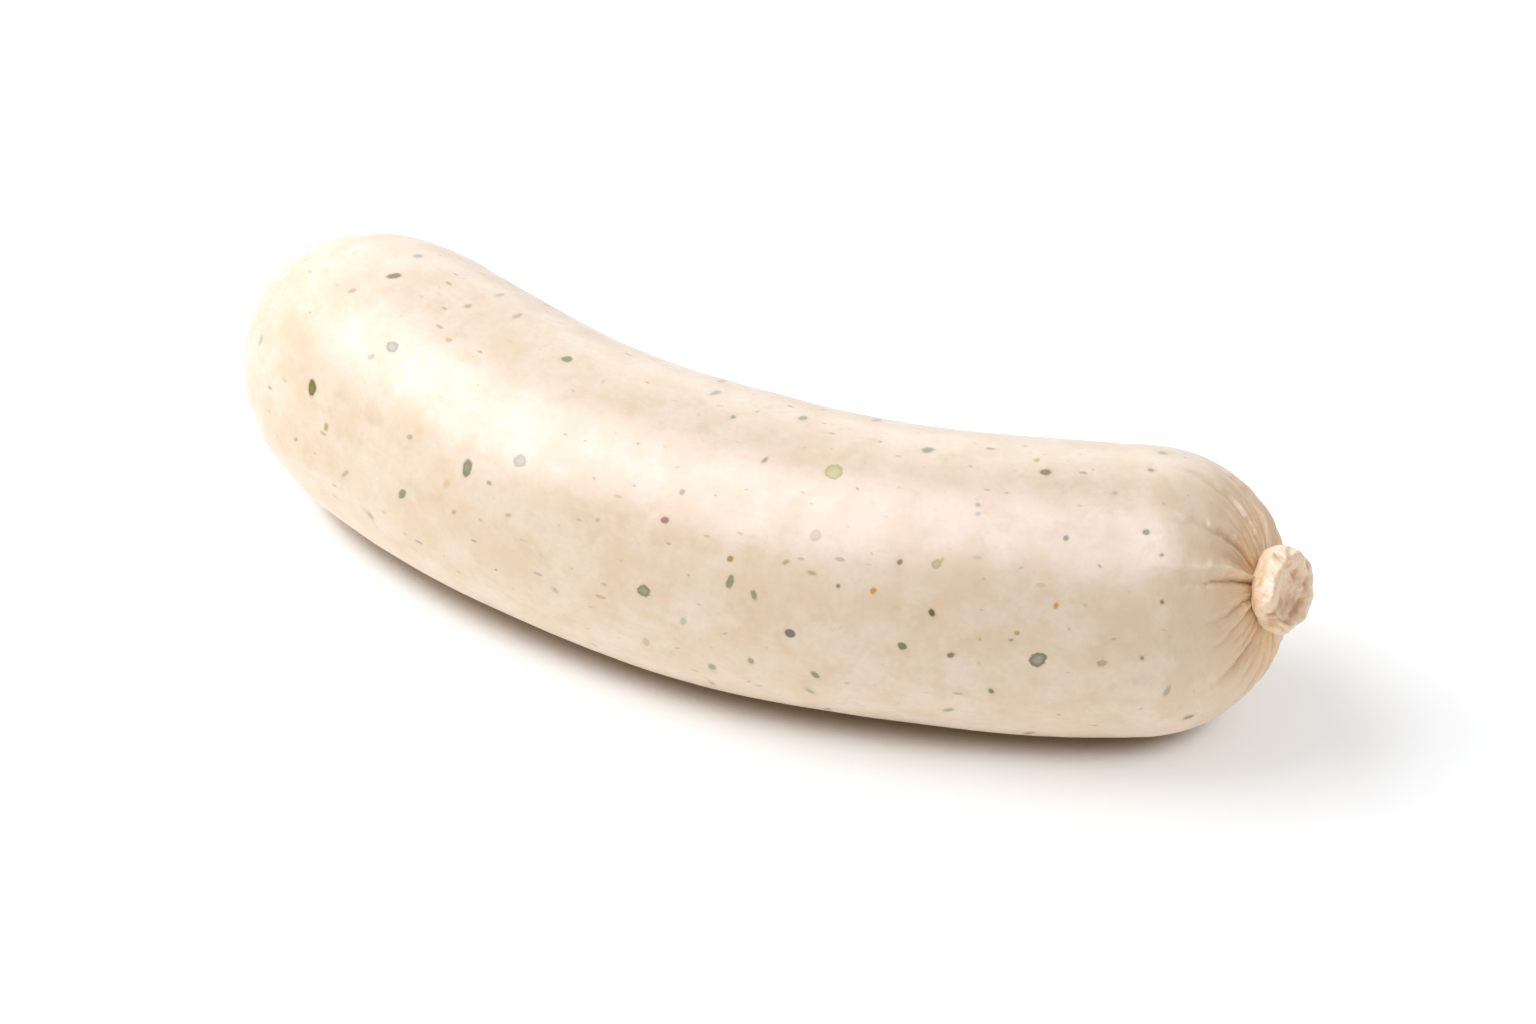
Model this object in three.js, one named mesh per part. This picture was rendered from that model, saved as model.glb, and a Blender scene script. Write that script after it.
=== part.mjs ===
// One pale herb sausage, lying on its side in a gentle curve.
// At each end its casing is gathered into pleats at a tie and twisted off into a crumpled knob.
// Units are millimetres, +Z is up, and the sausage rests on the plane Z = 0.

import * as THREE from "three";

const degrees = THREE.MathUtils.degToRad;

// Filled body: a round bar bent along an arc that bulges towards -Y
const ARC_RADIUS = 108.0;
const BODY_LENGTH = 89.0;
const RADIUS_AT_FAR_END = 16.4;
const RADIUS_AT_MIDDLE = 16.5;
const RADIUS_AT_NEAR_END = 16.0;
const REST_SINK = 0.4;

// Slow swelling along and round the body, so that it isn't a perfect bar
const SWELL_HEIGHT = 0.14;
const SWELL_LENGTH = 37.0;
const SWELL_SIDES = 2;

// The knob past each tie: a thick folded collar with a dimple in its end face.
// Each row is [distance past the tie, radius].
const KNOB_RADIUS = 4.8;
const KNOB_OUTLINE = [
  [0.0, 1.9],
  [0.2, 2.1],
  [0.4, 3.2],
  [1.0, 4.4],
  [2.2, KNOB_RADIUS],
  [3.4, 4.5],
  [4.1, 3.7],
  [3.9, 2.8],
  [3.2, 1.9],
  [2.9, 0.9],
  [2.85, 0.0],
];

// Creases that run into a tie, as [angle round the tie, depth, reach], with the folds between them
const NEAR_CREASES = [
  [38, 0.7, 9],
  [63, 0.8, 12],
  [79, 0.8, 13],
  [108, 1.1, 12],
  [123, 0.6, 13],
  [134, 1.2, 13],
  [157, 0.9, 14],
  [169, 0.7, 14],
  [184, 0.7, 12],
  [196, 1.3, 12],
  [219, 0.8, 11],
  [243, 0.8, 11],
];
const EVEN_CREASE = { step: 22, shift: 5, depth: 0.85, reach: 12 };
const CREASE_WIDTH = 0.65;
const CREASE_LIMIT = 1.4;

// Near end, towards +X: its tie sits off the axis, towards -Y and upwards
const NEAR_END = {
  side: 1,
  radius: RADIUS_AT_NEAR_END,
  domeLength: 15.9,
  domeFullness: 0.94,
  tieTurn: degrees(-26),
  tieRise: degrees(22),
  neckRadius: 1.9,
  creases: withEvenCreases(NEAR_CREASES, 268, 375),
  knobTurn: degrees(-5),
  knobRise: degrees(-12),
  ruffleDepth: 0.05,
  ruffleLift: 0.4,
  rufflePhase: degrees(50),
};

// Far end, towards -X: its tie sits off the axis, towards +Y and downwards
const FAR_END = {
  side: -1,
  radius: RADIUS_AT_FAR_END,
  domeLength: 23.9,
  domeFullness: 0.92,
  tieTurn: degrees(-14),
  tieRise: degrees(-13),
  neckRadius: 1.9,
  creases: withEvenCreases([], 6, 350),
  knobTurn: degrees(4),
  knobRise: degrees(5),
  ruffleDepth: 0.06,
  ruffleLift: 0.35,
  rufflePhase: degrees(120),
};

// Fineness of the surface
const SEGMENTS_ROUND = 72;
const BODY_STEPS = 18;
const DOME_STEPS = 15;
const KNOB_STEPS = 13;

const COLOUR = "#ead7bb";
const UP = new THREE.Vector3(0, 0, 1);

// Radius of the body; along goes from -1 at the far end to 1 at the near end
function bodyRadius(along) {
  const slope = (RADIUS_AT_NEAR_END - RADIUS_AT_FAR_END) / 2;
  const belly = RADIUS_AT_MIDDLE - (RADIUS_AT_NEAR_END + RADIUS_AT_FAR_END) / 2;
  return RADIUS_AT_MIDDLE + slope * along - belly * along * along;
}

// A point of the centreline, and the way it runs there
function centreline(along) {
  const heading = (along * BODY_LENGTH) / (2 * ARC_RADIUS);
  const point = new THREE.Vector3(
    ARC_RADIUS * Math.sin(heading),
    ARC_RADIUS * (1 - Math.cos(heading)),
    bodyRadius(along) - REST_SINK,
  );
  const direction = new THREE.Vector3(Math.cos(heading), Math.sin(heading), 0);
  return { point, direction };
}

function swell(position, angle) {
  const wave = Math.sin((2 * Math.PI * position) / SWELL_LENGTH + SWELL_SIDES * angle);
  const slow = Math.sin((Math.PI * position) / SWELL_LENGTH - angle);
  return SWELL_HEIGHT * (wave + slow);
}

// Uneven but repeatable numbers between 0 and 1
function uneven(index, kind) {
  const wave = Math.sin(12.9898 * (index + 1) + 78.233 * kind) * 43758.5453;
  return wave - Math.floor(wave);
}

// Rows of [angle, depth, reach] as creases, with even ones added between two angles
function withEvenCreases(rows, firstAngle, lastAngle) {
  const even = [];
  for (let angle = firstAngle; angle < lastAngle; angle += EVEN_CREASE.step) {
    const shift = EVEN_CREASE.shift * (2 * uneven(even.length, 1) - 1);
    const depth = EVEN_CREASE.depth * (0.6 + 0.8 * uneven(even.length, 2));
    const reach = EVEN_CREASE.reach * (0.7 + 0.6 * uneven(even.length, 3));
    even.push([angle + shift, depth, reach]);
  }
  return [...rows, ...even].map(([angle, depth, reach]) => ({ angle: degrees(angle), depth, reach }));
}

// How far the creases of an end pull its skin in, at an angle round the tie and a distance from it
function creasePull(end, angle, distance) {
  let depth = 0;
  for (const crease of end.creases) {
    const turn = Math.atan2(Math.sin(angle - crease.angle), Math.cos(angle - crease.angle));
    const sideways = Math.abs(turn) * distance;
    const fade = 1 - THREE.MathUtils.smoothstep(distance, 0, crease.reach);
    depth += crease.depth * fade * Math.exp(-sideways / CREASE_WIDTH);
  }
  const clearOfTie = THREE.MathUtils.smoothstep(distance, end.neckRadius, 2 * end.neckRadius);
  return clearOfTie * CREASE_LIMIT * Math.tanh(depth / CREASE_LIMIT);
}

// An axis turned sideways and raised, both as angles
function turned(axis, turn, rise) {
  const sideways = new THREE.Vector3().crossVectors(UP, axis).normalize();
  const angle = Math.hypot(turn, rise);
  const way = sideways.multiplyScalar(turn / angle).addScaledVector(UP, rise / angle);
  return axis.clone().multiplyScalar(Math.cos(angle)).addScaledVector(way, Math.sin(angle)).normalize();
}

// One ring of skin: its centre, the axes round it, and its radius and lift for any angle.
// Every axis points the way of +X, and a lift is counted outwards from the body.
function ring(side, centre, outward, radiusAt, liftAt) {
  const axis = outward.clone().multiplyScalar(side);
  const across = new THREE.Vector3().crossVectors(UP, axis).normalize();
  const above = new THREE.Vector3().crossVectors(axis, across);
  return { centre, across, above, outward, radiusAt, liftAt };
}

function bodyRings() {
  const rings = [];
  for (let step = 0; step <= BODY_STEPS; step += 1) {
    const along = (2 * step) / BODY_STEPS - 1;
    const { point, direction } = centreline(along);
    const position = (along * BODY_LENGTH) / 2;
    const radiusAt = (angle) => bodyRadius(along) + swell(position, angle);
    rings.push(ring(1, point, direction, radiusAt, () => 0));
  }
  return rings;
}

function tieAxis(end) {
  const outward = centreline(end.side).direction.multiplyScalar(end.side);
  return turned(outward, end.tieTurn, end.tieRise);
}

// Rings from the body out over a rounded end to its tie, turning slowly towards it
function domeRings(end) {
  const { point, direction } = centreline(end.side);
  const outward = direction.multiplyScalar(end.side);
  const tie = tieAxis(end);
  const position = (end.side * BODY_LENGTH) / 2;
  const rings = [];
  for (let step = 1; step <= DOME_STEPS; step += 1) {
    const share = step / DOME_STEPS;
    const slant = (share * Math.PI) / 2;
    const axis = outward.clone().lerp(tie, share).normalize();
    const centre = point.clone().addScaledVector(axis, end.domeLength * Math.sin(slant));
    const narrowing = share < 1 ? Math.pow(Math.cos(slant), end.domeFullness) : 0;
    const radius = end.neckRadius + (end.radius - end.neckRadius) * narrowing;
    const radiusAt = (angle) =>
      radius + swell(position, angle) * narrowing - creasePull(end, angle, radius) * Math.cos(slant);
    const liftAt = (angle) => -creasePull(end, angle, radius) * Math.sin(slant);
    rings.push(ring(end.side, centre, axis, radiusAt, liftAt));
  }
  return rings;
}

// Uneven folds round a knob: an oval, a three-fold and a five-fold wave
function ruffle(end, angle) {
  const turn = angle - end.rufflePhase;
  return 0.9 * Math.cos(2 * turn) + 0.8 * Math.sin(3 * turn) + 0.6 * Math.sin(5 * angle + end.rufflePhase);
}

// Rings of the knob past a tie, and the point that closes the dimple in its end face
function knobRings(end, neck) {
  const outline = KNOB_OUTLINE.map(([distance, radius]) => new THREE.Vector2(distance, radius));
  const curve = new THREE.SplineCurve(outline);
  const tie = tieAxis(end);
  const rings = [];
  for (let step = 1; step < KNOB_STEPS; step += 1) {
    const share = step / KNOB_STEPS;
    const { x: distance, y: radius } = curve.getPoint(share);
    const axis = turned(tie, end.knobTurn * share, end.knobRise * share);
    const centre = neck.clone().addScaledVector(axis, distance);
    const spread = (radius / KNOB_RADIUS) ** 2;
    const radiusAt = (angle) => radius * (1 + end.ruffleDepth * spread * ruffle(end, angle));
    const liftAt = (angle) => end.ruffleLift * spread * share * ruffle(end, angle);
    rings.push(ring(end.side, centre, axis, radiusAt, liftAt));
  }
  const axis = turned(tie, end.knobTurn, end.knobRise);
  const tip = neck.clone().addScaledVector(axis, outline[outline.length - 1].x);
  return { rings, tip };
}

function endRings(end) {
  const dome = domeRings(end);
  const neck = dome[dome.length - 1].centre;
  const knob = knobRings(end, neck);
  return { rings: [...dome, ...knob.rings], tip: knob.tip };
}

// The points of one ring, flattened where it rests
function ringPoints(one) {
  const points = [];
  for (let segment = 0; segment < SEGMENTS_ROUND; segment += 1) {
    const angle = (2 * Math.PI * segment) / SEGMENTS_ROUND;
    const radius = one.radiusAt(angle);
    const point = one.centre
      .clone()
      .addScaledVector(one.across, radius * Math.cos(angle))
      .addScaledVector(one.above, radius * Math.sin(angle))
      .addScaledVector(one.outward, one.liftAt(angle));
    points.push(point.x, point.y, Math.max(point.z, 0));
  }
  return points;
}

// Skin over the rings and the two tips, as one closed mesh with its faces pointing out
function skinGeometry(rings, firstTip, lastTip) {
  const positions = rings.flatMap(ringPoints);
  const firstIndex = rings.length * SEGMENTS_ROUND;
  const lastIndex = firstIndex + 1;
  const lastRow = rings.length - 1;
  positions.push(...firstTip.toArray(), ...lastTip.toArray());

  const faces = [];
  const at = (row, segment) => row * SEGMENTS_ROUND + (segment % SEGMENTS_ROUND);
  for (let segment = 0; segment < SEGMENTS_ROUND; segment += 1) {
    faces.push(firstIndex, at(0, segment + 1), at(0, segment));
    faces.push(lastIndex, at(lastRow, segment), at(lastRow, segment + 1));
    for (let row = 0; row < lastRow; row += 1) {
      faces.push(at(row, segment), at(row, segment + 1), at(row + 1, segment));
      faces.push(at(row, segment + 1), at(row + 1, segment + 1), at(row + 1, segment));
    }
  }
  const geometry = new THREE.BufferGeometry();
  geometry.setAttribute("position", new THREE.Float32BufferAttribute(positions, 3));
  geometry.setIndex(faces);
  geometry.computeVertexNormals();
  return geometry;
}

// Moves the geometry so that the origin is at the bottom centre of its box
function standOnOrigin(geometry) {
  geometry.computeBoundingBox();
  const box = geometry.boundingBox;
  const middle = box.getCenter(new THREE.Vector3());
  geometry.translate(-middle.x, -middle.y, -box.min.z);
}

function makeSausage() {
  const far = endRings(FAR_END);
  const near = endRings(NEAR_END);
  const rings = [...far.rings.reverse(), ...bodyRings(), ...near.rings];
  const geometry = skinGeometry(rings, far.tip, near.tip);
  standOnOrigin(geometry);
  const material = new THREE.MeshStandardMaterial({ color: COLOUR, roughness: 0.4, metalness: 0 });
  const mesh = new THREE.Mesh(geometry, material);
  mesh.name = "sausage";
  return mesh;
}

const part = new THREE.Group();
part.add(makeSausage());

export default part;
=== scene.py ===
"""A curved white herb sausage with gathered ends, on a pale studio floor."""

import math
import random
from typing import NamedTuple

import bmesh
import bpy
import numpy as np
from mathutils import Matrix, Vector, kdtree, noise


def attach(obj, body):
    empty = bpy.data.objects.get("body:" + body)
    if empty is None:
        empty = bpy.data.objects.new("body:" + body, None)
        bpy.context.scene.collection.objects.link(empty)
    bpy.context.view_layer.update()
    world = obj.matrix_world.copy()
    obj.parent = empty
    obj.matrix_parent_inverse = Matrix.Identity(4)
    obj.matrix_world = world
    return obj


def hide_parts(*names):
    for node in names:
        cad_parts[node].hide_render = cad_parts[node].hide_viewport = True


bl_info = {
    "name": "Herb Sausage",
    "version": (1, 0, 0),
    "blender": (4, 5, 0),
    "location": "3D View > Sidebar > Sausage",
    "description": "Builds a white herb sausage with pleated, twisted-off ends on a pale studio floor",
    "category": "Object",
}

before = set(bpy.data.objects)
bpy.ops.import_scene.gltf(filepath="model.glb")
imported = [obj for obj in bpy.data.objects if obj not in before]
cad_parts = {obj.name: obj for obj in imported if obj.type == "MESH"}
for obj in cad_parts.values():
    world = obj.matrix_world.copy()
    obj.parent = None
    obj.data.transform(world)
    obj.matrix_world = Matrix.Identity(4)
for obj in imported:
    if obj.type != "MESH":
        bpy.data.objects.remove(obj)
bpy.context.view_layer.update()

MM = 0.001
UP = Vector((0, 0, 1))
SEED = 7
BAKE_MAP = "OFBake"

# Where the middle of the sausage's centreline stands on the floor, in the frame
BODY_MIDDLE = Vector((2.21, -6.22, 0)) * MM

# The photograph's frame in pixels, and the camera's sensor in millimetres
PHOTO_WIDTH = 1536
PHOTO_HEIGHT = 1024
SENSOR_WIDTH = 36.0


# Creases and folds of the gathered casing

class Crease(NamedTuple):
    """A crease that runs out from a tie. Angles in degrees, lengths in millimetres.

    A depth below 0 is a ridge. A lip is a ridge beside the crease, on the side of larger angles
    if it is positive. Drift is how far the crease turns in each further DRIFT_STEP from the tie.
    """

    angle: float
    depth: float
    reach: float
    width: float = 0.45
    lip: float = 0.0
    drift: float = 0.0


NEAR_CREASES = [
    Crease(14, 0.5, 13, 0.4),
    Crease(23, 0.8, 14, 0.4, 0.2),
    Crease(36, 0.8, 15.5, 0.4, 0.25, 5),
    Crease(45, 0.5, 14.5, 0.3, 0.15),
    Crease(54, 1.3, 16, 0.4, -0.3),
    Crease(62, 0.5, 13, 0.3, 0.15),
    Crease(72, 0.7, 13, 0.35, 0.2),
    Crease(75.5, -0.35, 15.6, 0.32, 0.0, 1),
    Crease(80, 0.9, 16, 0.4, 0.25, 1),
    Crease(89, 0.4, 12, 0.35, 0.1),
    Crease(97, 0.45, 14, 0.4, 0.1, -3),
    Crease(104, -0.5, 15.5, 0.3, 0.0, 1),
    Crease(107.5, 1.25, 16, 0.35, 0.3, 1),
    Crease(114, 0.5, 12, 0.5, 0.0),
    Crease(120, 1.1, 14, 1.5),
    Crease(128.5, -1.1, 16.3, 0.54, 0.0, 1),
    Crease(135.5, 1.3, 16.2, 0.28, 0.0, 1),
    Crease(157, 0.9, 15.5, 0.55, 0.2),
    Crease(170, 0.7, 15.5, 0.6, -0.15),
    Crease(179, 0.5, 12, 0.3, 0.15, -2),
    Crease(186, 0.6, 13, 0.35, 0.15, -4),
    Crease(196, 1.6, 14, 0.38, 0.4, -5),
    Crease(204, 0.5, 12, 0.3, 0.1, -5),
    Crease(211, 0.8, 13.5, 0.4, 0.2, -5),
    Crease(221, 0.6, 12, 0.35, 0.15, -5),
    Crease(230, 0.9, 14, 0.45, 0.25, -5),
    Crease(240, 0.5, 12, 0.35, 0.1, -3),
    Crease(248, 0.9, 13, 0.4, 0.2),
    Crease(258, 0.6, 12, 0.4, 0.1),
]

# Creases that no one sees are spread evenly: this one every 9.5 degrees, shifted and turned a little
EVEN_CREASE = Crease(9.5, 0.8, 13, 0.4, 0.2)
EVEN_SHIFT = 3.2
EVEN_DRIFT = 4

# Angles between which the even creases lie, at the end that the camera sees and at the other
NEAR_EVEN = (268, 366)
FAR_EVEN = (4, 358)

# A crease has its own angle and width this far from the tie, and drifts with each further step
CREASE_HOME = 8 * MM
DRIFT_STEP = 4 * MM

# How much narrower and wider than its own width a crease may get
CREASE_NARROWEST = 0.35
CREASE_WIDEST = 1.4

# A crease fades away between these shares of its reach, and is shallower right beside the tie
CREASE_FADE = (0.4, 1.06)
TIE_CALM = (2.2 * MM, 6 * MM)
TIE_DEPTH = 0.3

# A lip's distance from its crease and its spread, in widths of the crease, and how much painted light it
# gets in the casing's colour
LIP_DISTANCE = 2.4
LIP_SPREAD = 1.5
LIP_PAINTED_LIGHT = 0.7

# Creases wander to each side by up to half of this, in radians, with bends this fine, in repeats per metre
WANDER = 0.14
WANDER_BENDS = 260.0

# How fine the pleats' pattern is round a tie, and distances from the tie between which it fades away
PLEATS = 13.0
PLEAT_FADE = (4 * MM, 15.5 * MM)

# Distances from a tie between which the puffed folds sink back to the smooth body
PUFF_FADE = (5 * MM, 14 * MM)

# How fast the pleats' pattern changes on the way out from a tie, for each metre
SPOKE_STRETCH = 12.0


def uneven(index, kind):
    """An uneven but repeatable number between 0 and 1."""
    wave = math.sin(12.9898 * (index + 1) + 78.233 * kind) * 43758.5453
    return wave - math.floor(wave)


def even_creases(first_angle, last_angle):
    """Creases spread evenly between two angles, each a little different."""
    rows = []
    angle = first_angle
    while angle < last_angle:
        shift = EVEN_SHIFT * (2 * uneven(len(rows), 1) - 1)
        depth = EVEN_CREASE.depth * (0.5 + uneven(len(rows), 2))
        reach = EVEN_CREASE.reach * (0.8 + 0.4 * uneven(len(rows), 3))
        width = EVEN_CREASE.width * (0.7 + 0.7 * uneven(len(rows), 4))
        drift = EVEN_DRIFT * (2 * uneven(len(rows), 5) - 1)
        rows.append(Crease(angle + shift, depth, reach, width, EVEN_CREASE.lip, drift))
        angle += EVEN_CREASE.angle
    return rows


# Sizes and colours

class SausageShape(bpy.types.PropertyGroup):
    """Sizes of the sausage."""

    arc_radius: bpy.props.FloatProperty(
        name="Bend radius", description="Radius of the curve along the middle",
        default=108 * MM, min=0.05, unit="LENGTH")
    body_length: bpy.props.FloatProperty(
        name="Body length", description="Length along the curve between the rounded ends",
        default=89 * MM, min=0.02, unit="LENGTH")
    radius_far: bpy.props.FloatProperty(
        name="Radius at far end", description="Radius of the body where the far end begins",
        default=16.4 * MM, min=0.005, unit="LENGTH")
    radius_middle: bpy.props.FloatProperty(
        name="Radius in the middle", description="Radius of the body half way along",
        default=16.5 * MM, min=0.005, unit="LENGTH")
    radius_near: bpy.props.FloatProperty(
        name="Radius at near end", description="Radius of the body where the near end begins",
        default=16.0 * MM, min=0.005, unit="LENGTH")
    rest_sink: bpy.props.FloatProperty(
        name="Flattening", description="How deep the underside is pressed flat",
        default=0.4 * MM, min=0, unit="LENGTH")
    swell_height: bpy.props.FloatProperty(
        name="Swell height", description="How far the body swells and narrows along its length",
        default=0.14 * MM, min=0, unit="LENGTH")
    swell_length: bpy.props.FloatProperty(
        name="Swell length", description="Length of one swell",
        default=37 * MM, min=0.005, unit="LENGTH")
    neck_radius: bpy.props.FloatProperty(
        name="Tie radius", description="Radius of the casing at a tie",
        default=1.9 * MM, min=0.0005, unit="LENGTH")
    near_length: bpy.props.FloatProperty(
        name="Near end length", description="Length of the rounded near end",
        default=15.9 * MM, min=0.005, unit="LENGTH")
    near_turn: bpy.props.FloatProperty(
        name="Near tie turn", description="How far the near tie is turned sideways",
        default=math.radians(-26), subtype="ANGLE")
    near_rise: bpy.props.FloatProperty(
        name="Near tie rise", description="How far the near tie is turned upwards",
        default=math.radians(22), subtype="ANGLE")
    far_length: bpy.props.FloatProperty(
        name="Far end length", description="Length of the rounded far end",
        default=23.9 * MM, min=0.005, unit="LENGTH")
    far_turn: bpy.props.FloatProperty(
        name="Far tie turn", description="How far the far tie is turned sideways",
        default=math.radians(-14), subtype="ANGLE")
    far_rise: bpy.props.FloatProperty(
        name="Far tie rise", description="How far the far tie is turned upwards",
        default=math.radians(-13), subtype="ANGLE")
    knob_radius: bpy.props.FloatProperty(
        name="Knob radius", description="Radius of the crumpled knob past a tie",
        default=4.8 * MM, min=0.001, unit="LENGTH")


class SausageColours(bpy.types.PropertyGroup):
    """Colours of the sausage, its herbs and its knobs."""

    filling: bpy.props.FloatVectorProperty(
        name="Filling", description="Main colour of the pale filling under the casing",
        subtype="COLOR", size=3, min=0, max=1, default=(0.77, 0.603, 0.43))
    filling_pale: bpy.props.FloatVectorProperty(
        name="Pale patches", description="Colour of the paler clouds in the filling",
        subtype="COLOR", size=3, min=0, max=1, default=(0.825, 0.69, 0.55))
    filling_warm: bpy.props.FloatVectorProperty(
        name="Warm patches", description="Colour of the warmer clouds in the filling",
        subtype="COLOR", size=3, min=0, max=1, default=(0.70, 0.525, 0.345))
    gathered: bpy.props.FloatVectorProperty(
        name="Gathered casing", description="Colour of the casing where it narrows to a tie",
        subtype="COLOR", size=3, min=0, max=1, default=(0.79, 0.57, 0.37))
    # Partly the casing's own yellow-orange at a tie, partly painted light that lifts the knob's shade there
    tie: bpy.props.FloatVectorProperty(
        name="Casing at a tie", description="Colour of the casing right beside a tie",
        subtype="COLOR", size=3, min=0, max=1, default=(0.92, 0.64, 0.36))
    # Painted shade: colour mixed in deep in the creases and sunken wrinkles, where shade falls
    valley: bpy.props.FloatVectorProperty(
        name="Creases", description="Colour of the casing deep in a crease",
        subtype="COLOR", size=3, min=0, max=1, default=(0.52, 0.33, 0.17))
    # Painted highlight: colour mixed in on the ridges beside creases and on raised wrinkles
    ridge: bpy.props.FloatVectorProperty(
        name="Ridges", description="Colour of the casing along the ridges beside creases",
        subtype="COLOR", size=3, min=0, max=1, default=(0.84, 0.70, 0.52))
    knob: bpy.props.FloatVectorProperty(
        name="Knob", description="Main colour of the twisted-off casing",
        subtype="COLOR", size=3, min=0, max=1, default=(0.925, 0.71, 0.495))
    # Darker tone in random clouds and veins, and painted shade in the folds and recess of a knob
    knob_shade: bpy.props.FloatVectorProperty(
        name="Knob hollows", description="Colour of the casing in the hollows of a knob",
        subtype="COLOR", size=3, min=0, max=1, default=(0.68, 0.405, 0.23))


class StageLook(bpy.types.PropertyGroup):
    """Camera and light."""

    azimuth: bpy.props.FloatProperty(
        name="Camera azimuth", description="Way that the camera looks from, round the sausage",
        default=math.radians(22.5), subtype="ANGLE")
    elevation: bpy.props.FloatProperty(
        name="Camera elevation", description="How far the camera looks down",
        default=math.radians(40), subtype="ANGLE")
    distance: bpy.props.FloatProperty(
        name="Camera distance", description="From the camera to the point that it looks at",
        default=733.5 * MM, min=0.1, unit="LENGTH")
    lens: bpy.props.FloatProperty(
        name="Lens", description="Focal length of the camera, in millimetres",
        default=150, min=10)
    target: bpy.props.FloatVectorProperty(
        name="Target", description="Point on the floor that the camera looks at",
        subtype="TRANSLATION", size=3, default=(-3.9 * MM, 16.96 * MM, 0))
    box_power: bpy.props.FloatProperty(
        name="Softbox power", description="Power of the large soft light overhead, in watts",
        default=4.95, min=0)
    sheen_power: bpy.props.FloatProperty(
        name="Sheen power", description="Power of the soft light that only shows as gloss, in watts",
        default=22.0, min=0)
    sheen_colour: bpy.props.FloatVectorProperty(
        name="Sheen colour", description="Colour of the soft light that only shows as gloss",
        subtype="COLOR", size=3, min=0, max=1, default=(0.82, 0.80, 0.98))
    back_power: bpy.props.FloatProperty(
        name="Back sheen power", description="Power of the soft light behind, in watts",
        default=9.5, min=0)
    back_colour: bpy.props.FloatVectorProperty(
        name="Back sheen colour", description="Colour of the soft light behind",
        subtype="COLOR", size=3, min=0, max=1, default=(0.9, 0.96, 1.0))
    sky: bpy.props.FloatProperty(
        name="Fill light", description="Strength of the pale light from all round",
        default=0.58, min=0)


# Small helpers for node trees

class Nodes:
    """Adds nodes to a tree and wires them."""

    def __init__(self, tree):
        self.tree = tree

    def add(self, kind, inputs=None, **settings):
        """A node of a kind, with its settings and its inputs, each a value or another node's socket."""
        node = self.tree.nodes.new(kind)
        for name, value in settings.items():
            setattr(node, name, value)
        for name, value in (inputs or {}).items():
            self.feed(node.inputs[name], value)
        return node

    def feed(self, socket, value):
        """Gives a socket a value, or a wire from another socket."""
        if isinstance(value, bpy.types.NodeSocket):
            self.tree.links.new(value, socket)
        else:
            socket.default_value = value

    def math(self, operation, *values, clamp=False):
        """The result of a Math node."""
        node = self.add("ShaderNodeMath", dict(enumerate(values)), operation=operation, use_clamp=clamp)
        return node.outputs[0]

    def plus(self, *values):
        """The sum of two numbers."""
        return self.math("ADD", *values)

    def minus(self, *values):
        """The difference of two numbers."""
        return self.math("SUBTRACT", *values)

    def times(self, *values):
        """The product of numbers."""
        product = values[0]
        for value in values[1:]:
            product = self.math("MULTIPLY", product, value)
        return product

    def over(self, *values):
        """One number divided by another."""
        return self.math("DIVIDE", *values)

    def vector(self, operation, *values):
        """The vector result of a Vector Math node."""
        node = self.add("ShaderNodeVectorMath", operation=operation)
        for index, value in enumerate(values):
            self.feed(node.inputs[index], value)
        return node.outputs[0]

    def scaled(self, vector, factor):
        """A vector times a number."""
        node = self.add("ShaderNodeVectorMath", {"Vector": vector, "Scale": factor}, operation="SCALE")
        return node.outputs[0]

    def length(self, vector):
        """The length of a vector."""
        node = self.add("ShaderNodeVectorMath", {0: vector}, operation="LENGTH")
        return node.outputs["Value"]

    def ramp(self, value, low, high, start=0.0, end=1.0):
        """A value that goes smoothly from start at low to end at high."""
        settings = {"Value": value, "From Min": low, "From Max": high, "To Min": start, "To Max": end}
        node = self.add("ShaderNodeMapRange", settings, interpolation_type="SMOOTHSTEP")
        return node.outputs[0]

    def mix(self, factor, first, second, blend_type="MIX"):
        """A mix of two colours."""
        node = self.add("ShaderNodeMix", data_type="RGBA", blend_type=blend_type)
        self.feed(node.inputs["Factor"], factor)
        self.feed(node.inputs[6], first)
        self.feed(node.inputs[7], second)
        return node.outputs[2]

    def noise(self, vector, scale, detail=2.0, roughness=0.5, distortion=0.0):
        """A Noise Texture's value."""
        inputs = {"Vector": vector, "Scale": scale, "Detail": detail, "Roughness": roughness,
                  "Distortion": distortion}
        return self.add("ShaderNodeTexNoise", inputs).outputs["Fac"]

    def attribute(self, name):
        """A named attribute of the surface, in a material."""
        return self.add("ShaderNodeAttribute", attribute_name=name)


def rgba(colour):
    """A colour with full opacity."""
    return (*colour, 1.0)


# The centreline and the rings of skin over it

class Ring(NamedTuple):
    """A ring of skin: its middle, the axes round it, and what the skin does there."""

    middle: Vector
    across: Vector
    above: Vector
    outward: Vector
    radius: float
    slant: float
    along: float
    swell: float
    tie: float


# What each point of the spine keeps of its ring
RING_AXES = ("across", "above", "outward")
RING_SIZES = ("radius", "slant", "along", "swell", "tie")

# Power of the cosine that an end's radius follows: less than 1 is fuller than a ball
NEAR_FULLNESS = 0.94
FAR_FULLNESS = 0.92

# Rows of skin along the body, the two ends and the plug in each knob, and columns round it
BODY_ROWS = 128
NEAR_ROWS = 92
FAR_ROWS = 66
PLUG_ROWS = 4
SKIN_COLUMNS = 336
PLUG_LENGTH = 1.6 * MM


def body_radius(shape, share):
    """Radius of the body; share goes from -1 at the far end to 1 at the near end."""
    slope = (shape.radius_near - shape.radius_far) / 2
    belly = shape.radius_middle - (shape.radius_near + shape.radius_far) / 2
    return shape.radius_middle + slope * share - belly * share * share


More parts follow.
